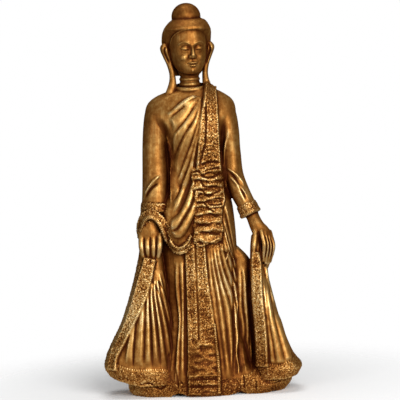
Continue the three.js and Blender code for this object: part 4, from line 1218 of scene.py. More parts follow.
# Lines carved into or raised on what shows from the front. Every row is a height, negative for a groove, then
# a width and a line of points of x and z.
CARVED_LINES = [
    # the hollow between the right sleeve and the body, with the sleeve's inner edge
    [-2.6, 7, [[-39.5, 353], [-34, 340], [-29.8, 325], [-28.5, 308], [-28.5, 290], [-30.5, 270], [-33, 248]]],
    [1.2, 3, [[-42.6, 345], [-37.6, 332], [-34.6, 316], [-34, 300], [-34.4, 280], [-35.5, 262]]],
    # the hollow between the border and the left sleeve
    [-2.5, 5, [[40, 350], [39, 330], [38.6, 310], [39.4, 290], [41, 268], [43, 250]]],
    # folds of the sleeves
    [-1.6, 3, [[-64, 252], [-55, 266], [-45, 273]]],
    [-1.6, 3, [[46, 284], [55, 272], [62, 258], [67, 246]]],
    [0.8, 3, [[44.3, 293], [58.2, 280], [67.1, 262], [74, 247]]],
    [0.8, 3, [[48.6, 279], [55.5, 267], [60, 256], [63.5, 247]]],
    [1, 3.4, [[47.7, 338], [44.2, 319], [42.8, 293], [45.4, 262]]],
    # the divided border on the chest
    [-1.6, 1.8, [[20.4, 380], [19.2, 358], [18.3, 336], [16.6, 322], [12, 306], [8.6, 294]]],
    # the gathered end of the border
    [-1.8, 2.2, [[8.8, 293.7], [18, 297], [27.4, 297.6], [35.6, 295]]],
    [-1.6, 2, [[10.3, 284.4], [21.5, 288.6], [32.6, 290]]],
    [-1.8, 2.2, [[-1.7, 284.9], [5.8, 287], [12.9, 279.7], [23.8, 278.3], [34, 282]]],
    [-1.8, 2.2, [[-1.2, 273.8], [8, 275.3], [13.3, 267], [25.2, 266.3], [37, 265]]],
    [-1.8, 2.2, [[2, 263.5], [9.4, 263], [16.5, 255.6], [27.7, 258.8], [37, 262]]],
    [-1.6, 2, [[21.8, 250.7], [32.9, 251], [39.5, 249]]],
    [-1.6, 2, [[17.9, 244.4], [27, 243], [37.5, 243.6]]],
    [-1.8, 2.2, [[2.3, 247], [11.5, 246.5], [17.7, 239], [28.4, 232]]],
    [-1.8, 2.2, [[2.6, 229.3], [17.4, 231.5], [31.9, 228]]],
    [-1.8, 2.2, [[1.2, 219], [12.2, 218], [26, 221]]],
    [-1.8, 2.2, [[1.8, 210], [16.4, 208.5], [34, 204]]],
    [1.6, 2, [[-0.8, 192.5], [8, 192.4], [15.9, 194.6], [27, 199.5], [34, 201]]],
    # the hollow beside the skirt, and the one beside the left held edge
    [-2, 3, [[47.5, 186], [46.2, 172], [45.4, 150], [45, 120], [44, 95], [43, 62], [41.4, 40], [41, 24]]],
    [-3.5, 4.5, [[68, 166], [66.5, 124], [68, 86], [69, 50], [67, 28]]],
    # folds over the left hip
    [1.6, 3.2, [[38.8, 246], [42.5, 228], [46, 208], [48.6, 190], [50.5, 174]]],
    [-1.2, 2, [[38, 234], [41, 218], [44.6, 200], [48, 180]]],
    [1.4, 2.8, [[37, 224], [40.5, 208], [44.4, 192], [48, 170]]],
    # folds that run out over the hem between the skirt and the held edges
    [-1.6, 2.4, [[49, 66], [50, 44], [52, 27]]],
    [1.2, 3, [[54.5, 62], [56, 44], [58, 27]]],
    [-1.6, 2.4, [[60, 64], [61.4, 46], [64, 29]]],
    [1, 2.6, [[65, 60], [66, 46], [67, 32]]],
    [1.2, 3, [[-35, 60], [-37, 44], [-39, 32]]],
    [-1.6, 2.6, [[-40, 58], [-42, 46], [-43, 36]]],
    # fine folds of the right held edge
    [-1.2, 1.6, [[-56.7, 149], [-49, 130], [-40.5, 98], [-35, 60]]],
    [-1.2, 1.6, [[-53.5, 154], [-44.6, 138], [-37.5, 112], [-33.5, 84]]],
    [-1.2, 1.8, [[-80.5, 103], [-84.1, 75], [-87, 42]]],
    [-1, 1.4, [[-63, 128], [-62.2, 88], [-62.4, 40]]],
    [-1, 1.4, [[-56.5, 130], [-53.6, 88], [-51.4, 38]]],
    # between the fingers
    [-1.6, 1.7, [[-66.2, 205], [-66.6, 190], [-64.8, 175]]],
    [-1.6, 1.7, [[-58.4, 206], [-58.8, 190], [-59.6, 173]]],
    [-1.6, 1.7, [[-50.4, 205], [-51.2, 190], [-53.4, 176]]],
    [-1.8, 1.5, [[88.2, 202], [90.2, 190], [87.6, 173]]],
    [-1.8, 1.5, [[91.8, 201], [94.2, 188], [91.4, 172]]],
    [-1.8, 1.5, [[95, 199], [97.6, 187], [95, 172]]],
    [-2.4, 2.4, [[80.2, 203], [81.8, 191], [80.4, 174]]],
    # the hollows of the ears
    [-2.4, 2.6, [[-29.6, 446], [-31, 440], [-28.6, 432], [-25.4, 424]]],
    [-2.4, 2.6, [[27, 446], [27.8, 439], [25, 431], [22, 422]]],
    # cords and joins along the hem
    [1.1, 2, [[-17, 27], [0, 27.6], [23.6, 27]]],
    [-1, 2, [[-17.4, 22.4], [0, 22.8], [24, 22]]],
    [1.1, 2, [[-17.4, 17.6], [0, 17.6], [24.2, 16]]],
    [-1.4, 2, [[-17.4, 13.4], [0, 13.6], [26, 12.2]]],
    [1.1, 2.2, [[-18, 4.6], [0, 4.4], [27, 3]]],
    [-1.8, 1.6, [[-17.2, 30], [-17.8, 14], [-18, 2]]],
    [-1.8, 1.8, [[-32.5, 36], [-31, 22], [-30, 10]]],
    [-1.8, 2.2, [[54, 24], [55.2, 6]]],
    [-2, 2.2, [[69.5, 18], [69.8, 3]]],
    [-2, 3, [[-79, 18.5], [-66, 19.5], [-54, 11], [-45, 15.5]]],
    [-1.4, 2.4, [[78, 16], [92, 12], [104, 15]]],
]

# The deep hollows beside the sleeves are worn smooth. Every row is a strength, a width and a line.
SLEEVE_HOLLOWS = [
    [1.6, 16, [[-37, 342], [-33, 325], [-32, 308], [-32, 290], [-33, 270], [-34, 250]]],
    [1.4, 9, [[41, 340], [40.5, 310], [41, 290], [42, 268], [43, 250]]],
]

# Carved lines of the face, about its own middle line; each line but the middle ones is mirrored.
FACE_LINES = [
    [1.6, 7, [[12.5, NOSE_Z + 5], [13.5, NOSE_Z - 2]]],
    [-1, 3.2, [[4.8, EYE_Z + 3], [4.9, EYE_Z - 1]]],
    [-0.6, 1, [[4.4, EYE_Z + 1], [9, EYE_Z + 3.2], [14.6, EYE_Z + 0.4]]],
    [-1, 0.9, [
        [4, EYE_Z - 1.6], [6.6, EYE_Z - 2.8], [9.8, EYE_Z - 3.1], [12.8, EYE_Z - 2.4], [15, EYE_Z - 1],
    ]],
    [-0.4, 1.6, [[5.4, EYE_Z - 5.4], [9.6, EYE_Z - 6.6], [13.6, EYE_Z - 5]]],
    [-0.5, 2.4, [[6, NOSE_Z + 2], [7.8, NOSE_Z - 2], [9, NOSE_Z - 5.5]]],
    [-0.8, 1.1, [[4.6, NOSE_Z + 5], [5.6, NOSE_Z + 2.8], [4.9, NOSE_Z + 0.6]]],
    [-1, 1.1, [[1.6, NOSE_Z + 0.3], [2.8, NOSE_Z + 0.6]]],
    [-0.7, 1.7, [[6.9, MOUTH_Z + 0.9], [7.5, MOUTH_Z + 0.5]]],
]
FACE_MIDDLE_LINES = [
    [-1, 0.8, [
        [-6.6, MOUTH_Z + 0.7], [-3, MOUTH_Z - 0.1], [0, MOUTH_Z + 0.2],
        [3, MOUTH_Z - 0.1], [6.6, MOUTH_Z + 0.7],
    ]],
    [-0.5, 1.4, [[0, NOSE_Z - 0.6], [0, NOSE_Z - 3.2]]],
    [-0.4, 3.2, [[-3, MOUTH_Z - 4.8], [0, MOUTH_Z - 5.2], [3, MOUTH_Z - 4.8]]],
    [1, 5, [[-1.5, MOUTH_Z - 9], [1.5, MOUTH_Z - 9]]],
]

# The sheet that lines are drawn on before they are carved
CANVAS_STEP = 0.5
CANVAS_LOW = np.array([-140.0, -10.0])
CANVAS_SIZE = (560, 1040)
# How fast a drawn line grows from its ends, and how far beyond them it starts, by share of its length
LINE_GROWTH = 5
LINE_END = 0.04


def drawn(rows):
    """A sheet of heights seen from the front with the lines drawn on it"""
    sheet = np.zeros(CANVAS_SIZE)
    for height, width, points in rows:
        t = np.linspace(0, 1, LINE_POINTS)
        line = smooth_line(points, t)
        swell = np.minimum(1, LINE_GROWTH * np.minimum(t + LINE_END, 1 + LINE_END - t))
        low = ((line.min(0) - 2 * width - CANVAS_LOW) / CANVAS_STEP).astype(int).clip(0)
        high = ((line.max(0) + 2 * width - CANVAS_LOW) / CANVAS_STEP).astype(int)
        x, z = (CANVAS_LOW[k] + CANVAS_STEP * np.arange(low[k], high[k]) for k in (0, 1))
        gap = (x[:, None, None] - line[:, 0]) ** 2 + (z[None, :, None] - line[:, 1]) ** 2
        nearest = gap.argmin(2)
        share = np.take_along_axis(gap, nearest[..., None], 2)[..., 0] / (width / 2) ** 2
        sheet[low[0]:high[0], low[1]:high[1]] += height * np.exp(-share) * swell[nearest]
    return sheet


def sampled(sheet, points):
    """The heights on a sheet in front of points"""
    place = (points[:, [0, 2]] - CANVAS_LOW) / CANVAS_STEP
    base = np.clip(place.astype(int), 0, np.array(CANVAS_SIZE) - 2)
    u, v = np.clip(place - base, 0, 1).T
    i, j = base.T
    return ((sheet[i, j] * (1 - u) + sheet[i + 1, j] * u) * (1 - v)
            + (sheet[i, j + 1] * (1 - u) + sheet[i + 1, j + 1] * u) * v)


# Rounds of smoothing after the remesh, on the face, in the hollows beside the sleeves, and after carving
REMESH_ROUNDS = 2
FACE_ROUNDS = 6
HOLLOW_ROUNDS = 10
CARVED_ROUNDS = 1
# The face's lines are carved above the neck. Its front is softened first, up to the hairline and out to a
# distance from its middle.
FACE_FROM, FACE_WHOLE_FROM = 404, 408
SOFT_TOP = 464
SOFT_HALF_WIDTH = 18
SOFT_FADE = 3
SOFT_FRONT, SOFT_WHOLE_FRONT = 12, 16
# Lines are carved only where the surface faces forward and nothing more than this far in front covers it.
FACES_FORWARD, FACES_WHOLLY_FORWARD = 0.05, 0.5
CARVED_REACH = 8
# The hollows beside the sleeves are smoothed only in front of these depths.
HOLLOW_FRONT, HOLLOW_WHOLE_FRONT = 2, 6

robe_forms()
robe_folds()
robe_borders()
hands()
neck()
head()
figure = joined()
apply_modifier(figure, "REMESH", mode="VOXEL", voxel_size=VOXEL)
surface = Surface(figure)
surface.points = surface.smoothed(surface.points, REMESH_ROUNDS)
surface.update()
wood = Surroundings(figure)
in_front = wood.shown(surface.points, CARVED_REACH)
in_front = in_front * smooth_step(-surface.normals[:, 1], FACES_FORWARD, FACES_WHOLLY_FORWARD)
in_face = turned(surface.points, back=True, turn=FACE_TURN)
on_head = smooth_step(surface.points[:, 2], FACE_FROM, FACE_WHOLE_FROM)
soft = on_head * smooth_step(SOFT_TOP - surface.points[:, 2], 0, SOFT_FADE)
soft *= smooth_step(SOFT_HALF_WIDTH - np.abs(in_face[:, 0]), 0, SOFT_FADE)
soft *= smooth_step(-in_face[:, 1], SOFT_FRONT, SOFT_WHOLE_FRONT)
surface.soften(FACE_ROUNDS, soft)
face_lines = FACE_MIDDLE_LINES + [
    [height, width, mirrored(points, side)] for height, width, points in FACE_LINES for side in (RIGHT, LEFT)
]
surface.points[:, 1] -= sampled(drawn(CARVED_LINES), surface.points) * in_front
surface.points[:, 1] -= sampled(drawn(face_lines), in_face) * in_front * on_head
close = sampled(drawn(SLEEVE_HOLLOWS), surface.points).clip(0, 1)
close *= smooth_step(-surface.points[:, 1], HOLLOW_FRONT, HOLLOW_WHOLE_FRONT)
surface.soften(HOLLOW_ROUNDS, close)
surface.points = surface.smoothed(surface.points, CARVED_ROUNDS)
surface.update()

# Ornament covers the hem below this line of x and z.
HEM_BAND = [
    [-132, 48], [-111, 45], [-104, 42], [-91, 38], [-76, 36], [-61, 36], [-46, 34.5], [-39, 28], [-34, 22],
    [-18, 22], [-16, 27], [24, 27], [26, 22], [60, 23], [67, 28], [71, 36], [85, 37], [99, 35], [106, 36.6],
    [121, 42], [134, 44],
]
# Outside the right held edge's border it goes on round the side, from this line of z and x.
RIGHT_SIDE_EDGE = [
    [38, -112], [46, -111], [57, -106.3], [81, -95.3], [101, -83], [132, -66], [170, -51.7], [180, -48],
]
RIGHT_SIDE_FROM, RIGHT_SIDE_TO, RIGHT_SIDE_FADE = 28, 176, 4
ORNAMENT_TOP = 400
LEAST_ORNAMENT = 0.01
# How far out from its middle line each cuff's ornament reaches
CUFF_REACHES = [[LEFT_CUFF, 17.5], [RIGHT_CUFF, 24]]
# Gathered cloth has fainter ornament, where nothing more than this reach in front covers it and it leans back
# by less than this.
WAIST_ORNAMENT = 0.75
FOOT_ORNAMENT = 0.6
COVERED_REACH = 10
BACKWARD_LEAN = 0.1
# The ornament of a border fades out over this distance at its edges, and between these beside a cord.
EDGE_FADE = 1.6
CORD_CLEAR, CORD_FREE = 0.5, 1.2
CORD_RISE = 0.45
CORD_HALF_WIDTH = 0.8
BEAD_RISE = 0.7
BEAD_RADIUS = 1.2
BEAD_PITCH = 2.7
# The hem's beads lie a little above its ornament, and only this far out from its middle.
HEM_BEAD_PITCH = 3
HEM_BEADS_ABOVE = 1
HEM_MIDDLE = 5
HEM_BEADS_FROM, HEM_BEADS_WHOLE = 40, 52
HEM_FADE = 1.5
# Grains of three sizes, each with its seed and its share of the relief, on a slightly wavy ground
GRAINS = [[2.8, 0, 0.5], [4.6, 5, 0.3], [9, 7, 0.35]]
GRAIN_LEVEL = 0.55
GROUND_WAVE = 1.1
GROUND_WAVE_RATE = 1.3

ornament = np.zeros(len(surface.points))
relief = np.zeros(len(surface.points))


def band_places(name, reach=7, around=16):
    """Points near a border: their places along and beside it, half its width, and whether they are on it"""
    line, widths = lines[name], BORDERS[name][0]
    low, high = line.points.min(0) - around, line.points.max(0) + around
    near = np.flatnonzero(((surface.points > low) & (surface.points < high)).all(1))
    along, beside, above = line.near(surface.points[near])
    half = between(widths, along / line.length)[:, 0] / 2
    out = line.out[np.searchsorted(line.place, along.clip(0, line.length - 1e-6))]
    inside = (along > 0) & (along < line.length) & (np.abs(above) < reach)
    inside &= (surface.normals[near] * out).sum(1) > 0
    return near, along, beside, half, inside


def ornament_band(name, cords=(), rows=(), margin=EDGE_FADE):
    """Fills a border with ornament. Each cord or row of beads has a side and a distance from its edge."""
    near, along, beside, half, inside = band_places(name)
    on = inside * smooth_step(half - np.abs(beside), margin - EDGE_FADE, margin)
    for side, depth in cords:
        gap = np.abs(beside * side - (half - depth))
        on *= smooth_step(gap, CORD_CLEAR, CORD_FREE)
        relief[near] += inside * CORD_RISE * np.exp(-(gap / CORD_HALF_WIDTH) ** 2)
    for side, depth in rows:
        row = beads(along, beside * side - (half - depth), BEAD_PITCH, BEAD_RADIUS)
        relief[near] += inside * BEAD_RISE * row
    ornament[near] = np.maximum(ornament[near], on)


def on_gather(rows, inset, bottom, top, beyond_left=0, beyond_right=0):
    """Where the front of gathered cloth shows, between two heights"""
    x, y, z = surface.points.T
    left, right = between(sorted([level, low + inset, high - inset] for level, low, high in rows), z).T
    inside = (z > bottom) & (z < top) & (x > left - beyond_left) & (x < right + beyond_right)
    return inside * (surface.normals[:, 1] < BACKWARD_LEAN) * wood.shown(surface.points, COVERED_REACH)


def on_cuff(cuff, reach, fade=1.5):
    """Where a cuff is, from its first row to its last and this far out from its middle line"""
    start, end = np.array(cuff[0][:3]), np.array(cuff[-1][:3])
    axis = unit(end - start)
    along = (surface.points - start) @ axis
    length = np.linalg.norm(end - start)
    away = np.linalg.norm(surface.points - start - along[:, None] * axis, axis=1)
    return smooth_step(along, 0, fade) * smooth_step(length - along, 0, fade) * (away < reach)


ornament_band("shoulder", rows=[(LEFT, 2)])
ornament_band("right_panel")
ornament_band("left_panel")
ornament_band("panel_edge", rows=[(LEFT, 2.2), (RIGHT, 2.2)])
ornament_band("right_flare")
ornament_band("left_flare")
ornament_band("trim", cords=[(LEFT, 3.2)], rows=[(LEFT, 1), (RIGHT, 1)], margin=0.2)
x, y, z = surface.points.T
below = between(HEM_BAND, x)[:, 0] - z
hem_ends = smooth_step(np.abs(x - HEM_MIDDLE), HEM_BEADS_FROM, HEM_BEADS_WHOLE)
hem_beads = BEAD_RISE * beads(x, below + HEM_BEADS_ABOVE, HEM_BEAD_PITCH, BEAD_RADIUS)
relief += hem_ends * (smooth_step(below, -0.5, 1) * BEAD_RISE + hem_beads)
right_side = x < between(RIGHT_SIDE_EDGE, z)[:, 0]
right_side = right_side * smooth_step(z, RIGHT_SIDE_FROM, RIGHT_SIDE_FROM + RIGHT_SIDE_FADE)
right_side = right_side * smooth_step(RIGHT_SIDE_TO - z, 0, RIGHT_SIDE_FADE) * smooth_step(-y, 0, 6)
for on in (
    smooth_step(below, 0, HEM_FADE),
    on_gather(WAIST_GATHER, inset=1, bottom=188, top=300, beyond_left=3, beyond_right=2) * WAIST_ORNAMENT,
    on_gather(FOOT_GATHER, inset=0.5, bottom=-math.inf, top=69) * FOOT_ORNAMENT,
    *(on_cuff(cuff, reach) for cuff, reach in CUFF_REACHES),
    right_side,
):
    ornament = np.maximum(ornament, on)
ornament[z > ORNAMENT_TOP] = 0
picked = np.flatnonzero(ornament > LEAST_ORNAMENT)
ground = surface.points[picked]
ground = ground + GROUND_WAVE * np.sin(ground[:, [1, 2, 0]] * GROUND_WAVE_RATE)
grain = sum(grains(ground, size, seed) * share for size, seed, share in GRAINS)
relief[picked] += ornament[picked] * (grain - GRAIN_LEVEL)
surface.raise_by(relief)

# The foot of the front rises a little between its lobes: every row is a middle, a reach and a height.
NOTCHES = [[-29, 9, 5], [49, 8, 3.4], [98, 12, 3], [-88, 10, 2.4]]
NOTCH_TOP = 13
NOTCH_FRONT, NOTCH_WHOLE_FRONT = 26, 40
x, y, z = surface.points.T
low_front = smooth_step(-y, NOTCH_FRONT, NOTCH_WHOLE_FRONT) * (1 - z / NOTCH_TOP).clip(0, 1)
lift = sum(height * np.exp(-((x - middle) / reach) ** 2) for middle, reach, height in NOTCHES)
surface.points[:, 2] += lift * low_front
surface.update()

# Patches of paler gilding and darker old glaze that also hold painted light and painted shade on regions
# which the lamps light too little or too much: a place, its size, and how much
PATCHES = [
    [0, 0, 486, 22, -0.29], [0, -20, 440, 24, -0.02], [4, -28, 430, 14, 0.07], [88, -36, 196, 22, -0.14],
    [96, -36, 225, 12, -0.12], [-8, -34, 356, 30, 0.19], [-58, 0, 350, 26, -0.1], [-64, -30, 222, 16, -0.03],
    [103, -36, 96, 46, 0.2], [104, -36, 46, 18, 0.18], [56, -30, 130, 38, 0.26], [-24, -30, 130, 26, -0.18],
    [0, -16, 396, 14, 0.1], [22, -30, 340, 16, 0.04], [2, -50, 8, 90, -0.16], [80, -30, 8, 70, -0.14],
    [-100, -30, 80, 34, 0.22], [-88, -38, 104, 22, 0.2], [-74, -34, 130, 24, 0.22], [72, -30, 320, 30, 0.14],
    [-2, -48, 160, 28, 0.14], [0, -50, 100, 30, 0.14], [-58, -36, 194, 14, 0.08], [-10, -40, 250, 26, 0.08],
    [24, -46, 110, 34, -0.1],
]
# The material's own values: how far each place stands out from its surroundings once these are smoothed, and
# the share of wood in a near and a wide ball whose middle lies this far above the surface. The material turns
# them into a painted highlight on crests and painted shade in creases and hollows, along with wear and old
# glaze.
DETAIL_ROUNDS = 10
NEAR_RADIUS, NEAR_HEIGHT = 4, 1.2
WIDE_RADIUS, WIDE_HEIGHT = 14, 5
patches = sum(
    shade * np.exp(-(((surface.points - place) / size) ** 2).sum(1))
    for *place, size, shade in PATCHES
)
fine = ((surface.points - surface.smoothed(surface.points, DETAIL_ROUNDS)) * surface.normals).sum(1)
surface.keep("fine", fine)
surface.keep("near", wood.at(wood.blurred(NEAR_RADIUS), surface.points + surface.normals * NEAR_HEIGHT))
surface.keep("wide", wood.at(wood.blurred(WIDE_RADIUS), surface.points + surface.normals * WIDE_HEIGHT))
surface.keep("ornament", ornament)
surface.keep("patches", patches)
apply_modifier(figure, "DECIMATE", ratio=TRIANGLES / (2 * len(figure.data.polygons)))

# The foot is flat, and the relief keeps to the solid's own width and depth.
fitted = read_points(figure.data) * MM
fitted[:, 2] = fitted[:, 2].clip(*(corner[2] for corner in cad_box))
for axis in range(2):
    low, high = (corner[axis] for corner in cad_box)
    least, most = fitted[:, axis].min(), fitted[:, axis].max()
    fitted[:, axis] = low + (fitted[:, axis] - least) / (most - least) * (high - low)
write_points(figure.data, fitted)
figure.data.shade_smooth()
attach(figure, "root")
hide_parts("figure")


class Value:
    """A value on its way through a material. Sums, differences and products of it add Math nodes."""

    def __init__(self, material, socket):
        self.material, self.socket = material, socket

    def math(self, operation, *others):
        return self.material.node("ShaderNodeMath", {"operation": operation}, [self, *others])

    def __add__(self, other):
        return self.math("ADD", other)

    def __sub__(self, other):
        return self.math("SUBTRACT", other)

    def __rsub__(self, other):
        return self.material.node("ShaderNodeMath", {"operation": "SUBTRACT"}, [other, self])

    def __mul__(self, other):
        return self.math("MULTIPLY", other)

    __radd__ = __add__
    __rmul__ = __mul__

    def kept(self):
        """The value held between 0 and 1"""
        return self.material.node("ShaderNodeClamp", {}, [self])

    def rising(self, low, high):
        """0 at the low value and 1 at the high one, smooth between them and level beyond"""
        settings = {"interpolation_type": "SMOOTHSTEP"}
        return self.material.node("ShaderNodeMapRange", settings, [self, low, high])


class Material:
    """A material of nodes"""

    def __init__(self, name):
        self.made = bpy.data.materials.new(name)
        self.made.use_nodes = True
        self.tree = self.made.node_tree
        self.shader = self.tree.nodes["Principled BSDF"]

    def node(self, kind, settings=None, values=(), output=0):
        """Adds a node, sets it up and gives its sockets their values or links."""
        made = self.tree.nodes.new(kind)
        for name, value in (settings or {}).items():
            setattr(made, name, value)
        pairs = values.items() if isinstance(values, dict) else enumerate(values)
        for name, value in pairs:
            self.put(made.inputs[name], value)
        return Value(self, made.outputs[output])

    def put(self, socket, value):
        if isinstance(value, Value):
            self.tree.links.new(value.socket, socket)
        else:
            socket.default_value = value

    def attribute(self, name):
        return self.node("ShaderNodeAttribute", {"attribute_name": name}, output="Fac")

    def blend(self, share, first, second):
        return self.node("ShaderNodeMix", {"data_type": "RGBA"}, {0: share, 6: first, 7: second}, output=2)

    def finish(self, **sockets):
        for name, value in sockets.items():
            self.put(self.shader.inputs[name.replace("_", " ")], value)
        return self.made


# The gilding's colours from the darkest to the lightest, each with its place on the ramp
GOLD_SHADES = [
    (0.0, (0.036, 0.0048, 0.0002, 1)),
    (0.22, (0.057, 0.0124, 0.001, 1)),
    (0.42, (0.127, 0.041, 0.0064, 1)),
    (0.6, (0.24, 0.098, 0.0195, 1)),
    (0.8, (0.43, 0.236, 0.069, 1)),
    (1.0, (0.63, 0.44, 0.2, 1)),
]
RED_GROUND = (0.19, 0.056, 0.012, 1)
RED_SHARE = 0.22
WARM_SHEEN = (1, 0.68, 0.38, 1)
SHEEN_LEVEL = 0.2
# Noises: scale per metre, detail and roughness. Streaks are drawn out upright to this share of their scale.
BLOTCHES = (24, 4, 0.6)
MOTTLING = (150, 4, 0.6)
STREAKS = (420, 3, 0.6)
STREAK_STRETCH = 0.07
RED_PATCHES = (34, 3, 0.55)
SPECKLES = 560.0
# How light the gold is where nothing changes it, and by how much it is lightened on crests, as worn gilding
# and a painted highlight, darkened in creases and where much wood is near or around, as old glaze and painted
# shade, and varied by its noises
EVEN_GOLD = 0.62
CREST_WEAR_AND_HIGHLIGHT = 0.3
ORNAMENT_LESS_WEAR_AND_HIGHLIGHT = 0.05
CREASED = 0.48
NEAR_SHADE = 0.47
WIDE_SHADE = 0.33
MOTTLED = 0.55
STREAKED = 0.28
DOTTED = 0.55
DOT_MIDDLE = 0.45
# Between which values each of them, and the red ground, comes up
CREST_RANGE = (0.02, 0.36)
CREASE_RANGE = (-0.03, -0.36)
NEAR_RANGE = (0.26, 0.6)
WIDE_RANGE = (0.25, 0.62)
RED_RANGE = (0.52, 0.68)
# The metal and the gloss of the darkest gold, and how they change up to the lightest
DARK_METAL, METAL_RISE = 0.55, 0.35
DARK_ROUGHNESS, ROUGHNESS_DROP = 0.6, 0.16
# The fine relief of the leaf, from its mottling, the grains of the ornament and its streaks
MOTTLED_BUMP, GRAIN_BUMP, STREAKED_BUMP = 0.4, 1.2, 0.35
BUMP_STRENGTH = 0.5
BUMP_METRES = 0.0006


def gilding():
    """Gold leaf over dark lacquer: rubbed pale with a painted highlight where it stands out, and brown with
    old glaze and painted shade in the hollows
    """
    made = Material("antique_gilding")
    place = made.node("ShaderNodeTexCoord", output="Object")
    upright = made.node("ShaderNodeMapping", {}, {"Vector": place, "Scale": (1, 1, STREAK_STRETCH)})

    def noise(scale, detail, rough, at=place):
        values = {"Vector": at, "Scale": scale, "Detail": detail, "Roughness": rough}
        return made.node("ShaderNodeTexNoise", {}, values)

    fine, near, wide = (made.attribute(name) for name in ("fine", "near", "wide"))
    ornament, patches = made.attribute("ornament"), made.attribute("patches")
    blotches, mottling = noise(*BLOTCHES), noise(*MOTTLING)
    streaks = noise(*STREAKS, upright)
    speckle = made.node("ShaderNodeTexVoronoi", {}, {"Vector": place, "Scale": SPECKLES})
    # Crests are lightened as worn gilding and as a painted highlight, and creases darkened as old glaze and
    # as painted shade.
    crest = fine.rising(*CREST_RANGE) * (CREST_WEAR_AND_HIGHLIGHT - ornament * ORNAMENT_LESS_WEAR_AND_HIGHLIGHT)
    crest = crest - fine.rising(*CREASE_RANGE) * CREASED
    # Where much wood is near or around, the gold is darkened as old glaze and as painted shade.
    hollow = near.rising(*NEAR_RANGE) * NEAR_SHADE + wide.rising(*WIDE_RANGE) * WIDE_SHADE
    uneven = (mottling - 0.5) * MOTTLED + (blotches - 0.5) * MOTTLED
    uneven = uneven + (streaks - 0.5) * STREAKED * (1 - ornament)
    dots = (DOT_MIDDLE - speckle) * ornament * DOTTED
    # The patches add painted light and painted shade along with paler gilding and darker glaze.
    light = (EVEN_GOLD + patches + crest - hollow + uneven + dots).kept()
    colour = made.node("ShaderNodeValToRGB", {}, [light])
    ramp = colour.socket.node.color_ramp
    for position, _ in GOLD_SHADES[1:-1]:
        ramp.elements.new(position)
    for element, (position, shade) in zip(ramp.elements, GOLD_SHADES):
        element.position, element.color = position, shade
    red = noise(*RED_PATCHES).rising(*RED_RANGE) * RED_SHARE
    colour = made.blend(red, colour, RED_GROUND)
    bumps = mottling * MOTTLED_BUMP + (1 - speckle) * ornament * GRAIN_BUMP + streaks * STREAKED_BUMP
    sizes = {"Strength": BUMP_STRENGTH, "Distance": BUMP_METRES, "Height": bumps}
    bump = made.node("ShaderNodeBump", {}, sizes)
    return made.finish(
        Specular_IOR_Level=SHEEN_LEVEL,
        Specular_Tint=WARM_SHEEN,
        Base_Color=colour,
        Metallic=light * METAL_RISE + DARK_METAL,
        Roughness=DARK_ROUGHNESS - light * ROUGHNESS_DROP,
        Normal=bump,
    )


figure.data.materials.append(gilding())

# The camera. The photograph is 400 pixels square, and the figure's middle line and foot are placed in it at a
# column and a row of its pixels. The camera looks down a little, so the front edge of the foot appears this
# drop in millimetres below the origin.
PICTURE = 400
MM_PER_PIXEL = 1.287
AXIS_COLUMN = 194.5
FOOT_ROW = 394.6
FOOT_DROP = 4.5
ELEVATION = math.radians(5)
ROLL = math.radians(2.3)
DISTANCE = 2600
SEES_TO_METRES = 20

# Every lamp's place, the place it points at and its size, in metres, and its power in watts
LAMPS = {
    "key": [(0.7, -1.9, 0.95), (0, 0, 0.27), 1.1, 46],
    "left_fill": [(-1.2, -1.5, 0.5), (0, 0, 0.25), 0.6, 9],
    "right_fill": [(1.2, -1.5, 0.5), (0, 0, 0.25), 0.6, 9],
    "top": [(0, -0.2, 1.9), (0, 0, 0.2), 1, 14],
}
FLOOR_METRES = 6
# The floor fades into the background between these distances from the figure's middle.
FLOOR_WHOLE_TO, FLOOR_GONE_AT = 0.1, 0.42
PALE = (0.9, 0.9, 0.9, 1)
WHITE = (1, 1, 1, 1)
# How strongly the white background lights the figure, and how strongly it is seen
SURROUNDING_LIGHT, BACKGROUND_LIGHT = 0.15, 1.0


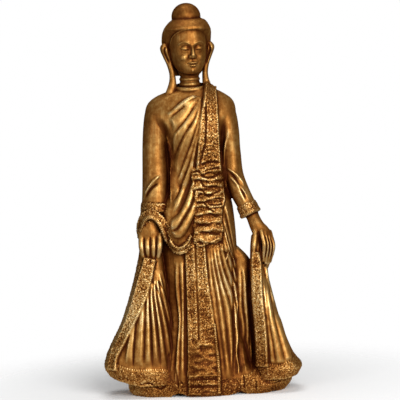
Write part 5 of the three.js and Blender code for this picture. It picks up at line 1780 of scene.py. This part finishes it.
def camera():
    data = bpy.data.cameras.new("camera")
    made = bpy.data.objects.new("camera", data)
    bpy.context.scene.collection.objects.link(made)
    data.lens = data.sensor_width * DISTANCE / (PICTURE * MM_PER_PIXEL)
    data.clip_end = SEES_TO_METRES
    aim = np.array([
        (PICTURE / 2 - AXIS_COLUMN) * MM_PER_PIXEL, 0,
        ((FOOT_ROW - PICTURE / 2) * MM_PER_PIXEL - FOOT_DROP) / math.cos(ELEVATION),
    ])
    back = np.array([0, -math.cos(ELEVATION), math.sin(ELEVATION)])
    made.location = Vector((aim + back * DISTANCE) * MM)
    turn = Vector(-back).to_track_quat("-Z", "Y").to_matrix()
    made.rotation_euler = (turn @ Matrix.Rotation(-ROLL, 3, "Z")).to_euler()
    bpy.context.scene.camera = made


def lamp(name, place, aim, size, power):
    data = bpy.data.lights.new(name, "AREA")
    data.energy, data.size = power, size
    made = bpy.data.objects.new(name, data)
    bpy.context.scene.collection.objects.link(made)
    made.location = place
    made.rotation_euler = (Vector(aim) - Vector(place)).to_track_quat("-Z", "Y").to_euler()


def studio():
    bpy.ops.mesh.primitive_plane_add(size=FLOOR_METRES)
    floor = bpy.context.object
    floor.name = "floor"
    pale = Material("pale_floor")
    place = pale.node("ShaderNodeTexCoord", output="Object")
    away = pale.node("ShaderNodeVectorMath", {"operation": "LENGTH"}, [place], output="Value")
    shown = 1 - away.rising(FLOOR_WHOLE_TO, FLOOR_GONE_AT)
    floor.data.materials.append(pale.finish(Base_Color=PALE, Roughness=0.9, Alpha=shown))
    for name, row in LAMPS.items():
        lamp(name, *row)
    world = bpy.data.worlds.new("studio")
    world.use_nodes = True
    nodes = world.node_tree.nodes
    paths = nodes.new("ShaderNodeLightPath")
    strength = nodes.new("ShaderNodeMapRange")
    strength.inputs["To Min"].default_value = SURROUNDING_LIGHT
    strength.inputs["To Max"].default_value = BACKGROUND_LIGHT
    world.node_tree.links.new(paths.outputs["Is Camera Ray"], strength.inputs["Value"])
    world.node_tree.links.new(strength.outputs[0], nodes["Background"].inputs["Strength"])
    nodes["Background"].inputs["Color"].default_value = WHITE
    bpy.context.scene.world = world


camera()
studio()
bpy.context.scene.view_settings.view_transform = "Standard"
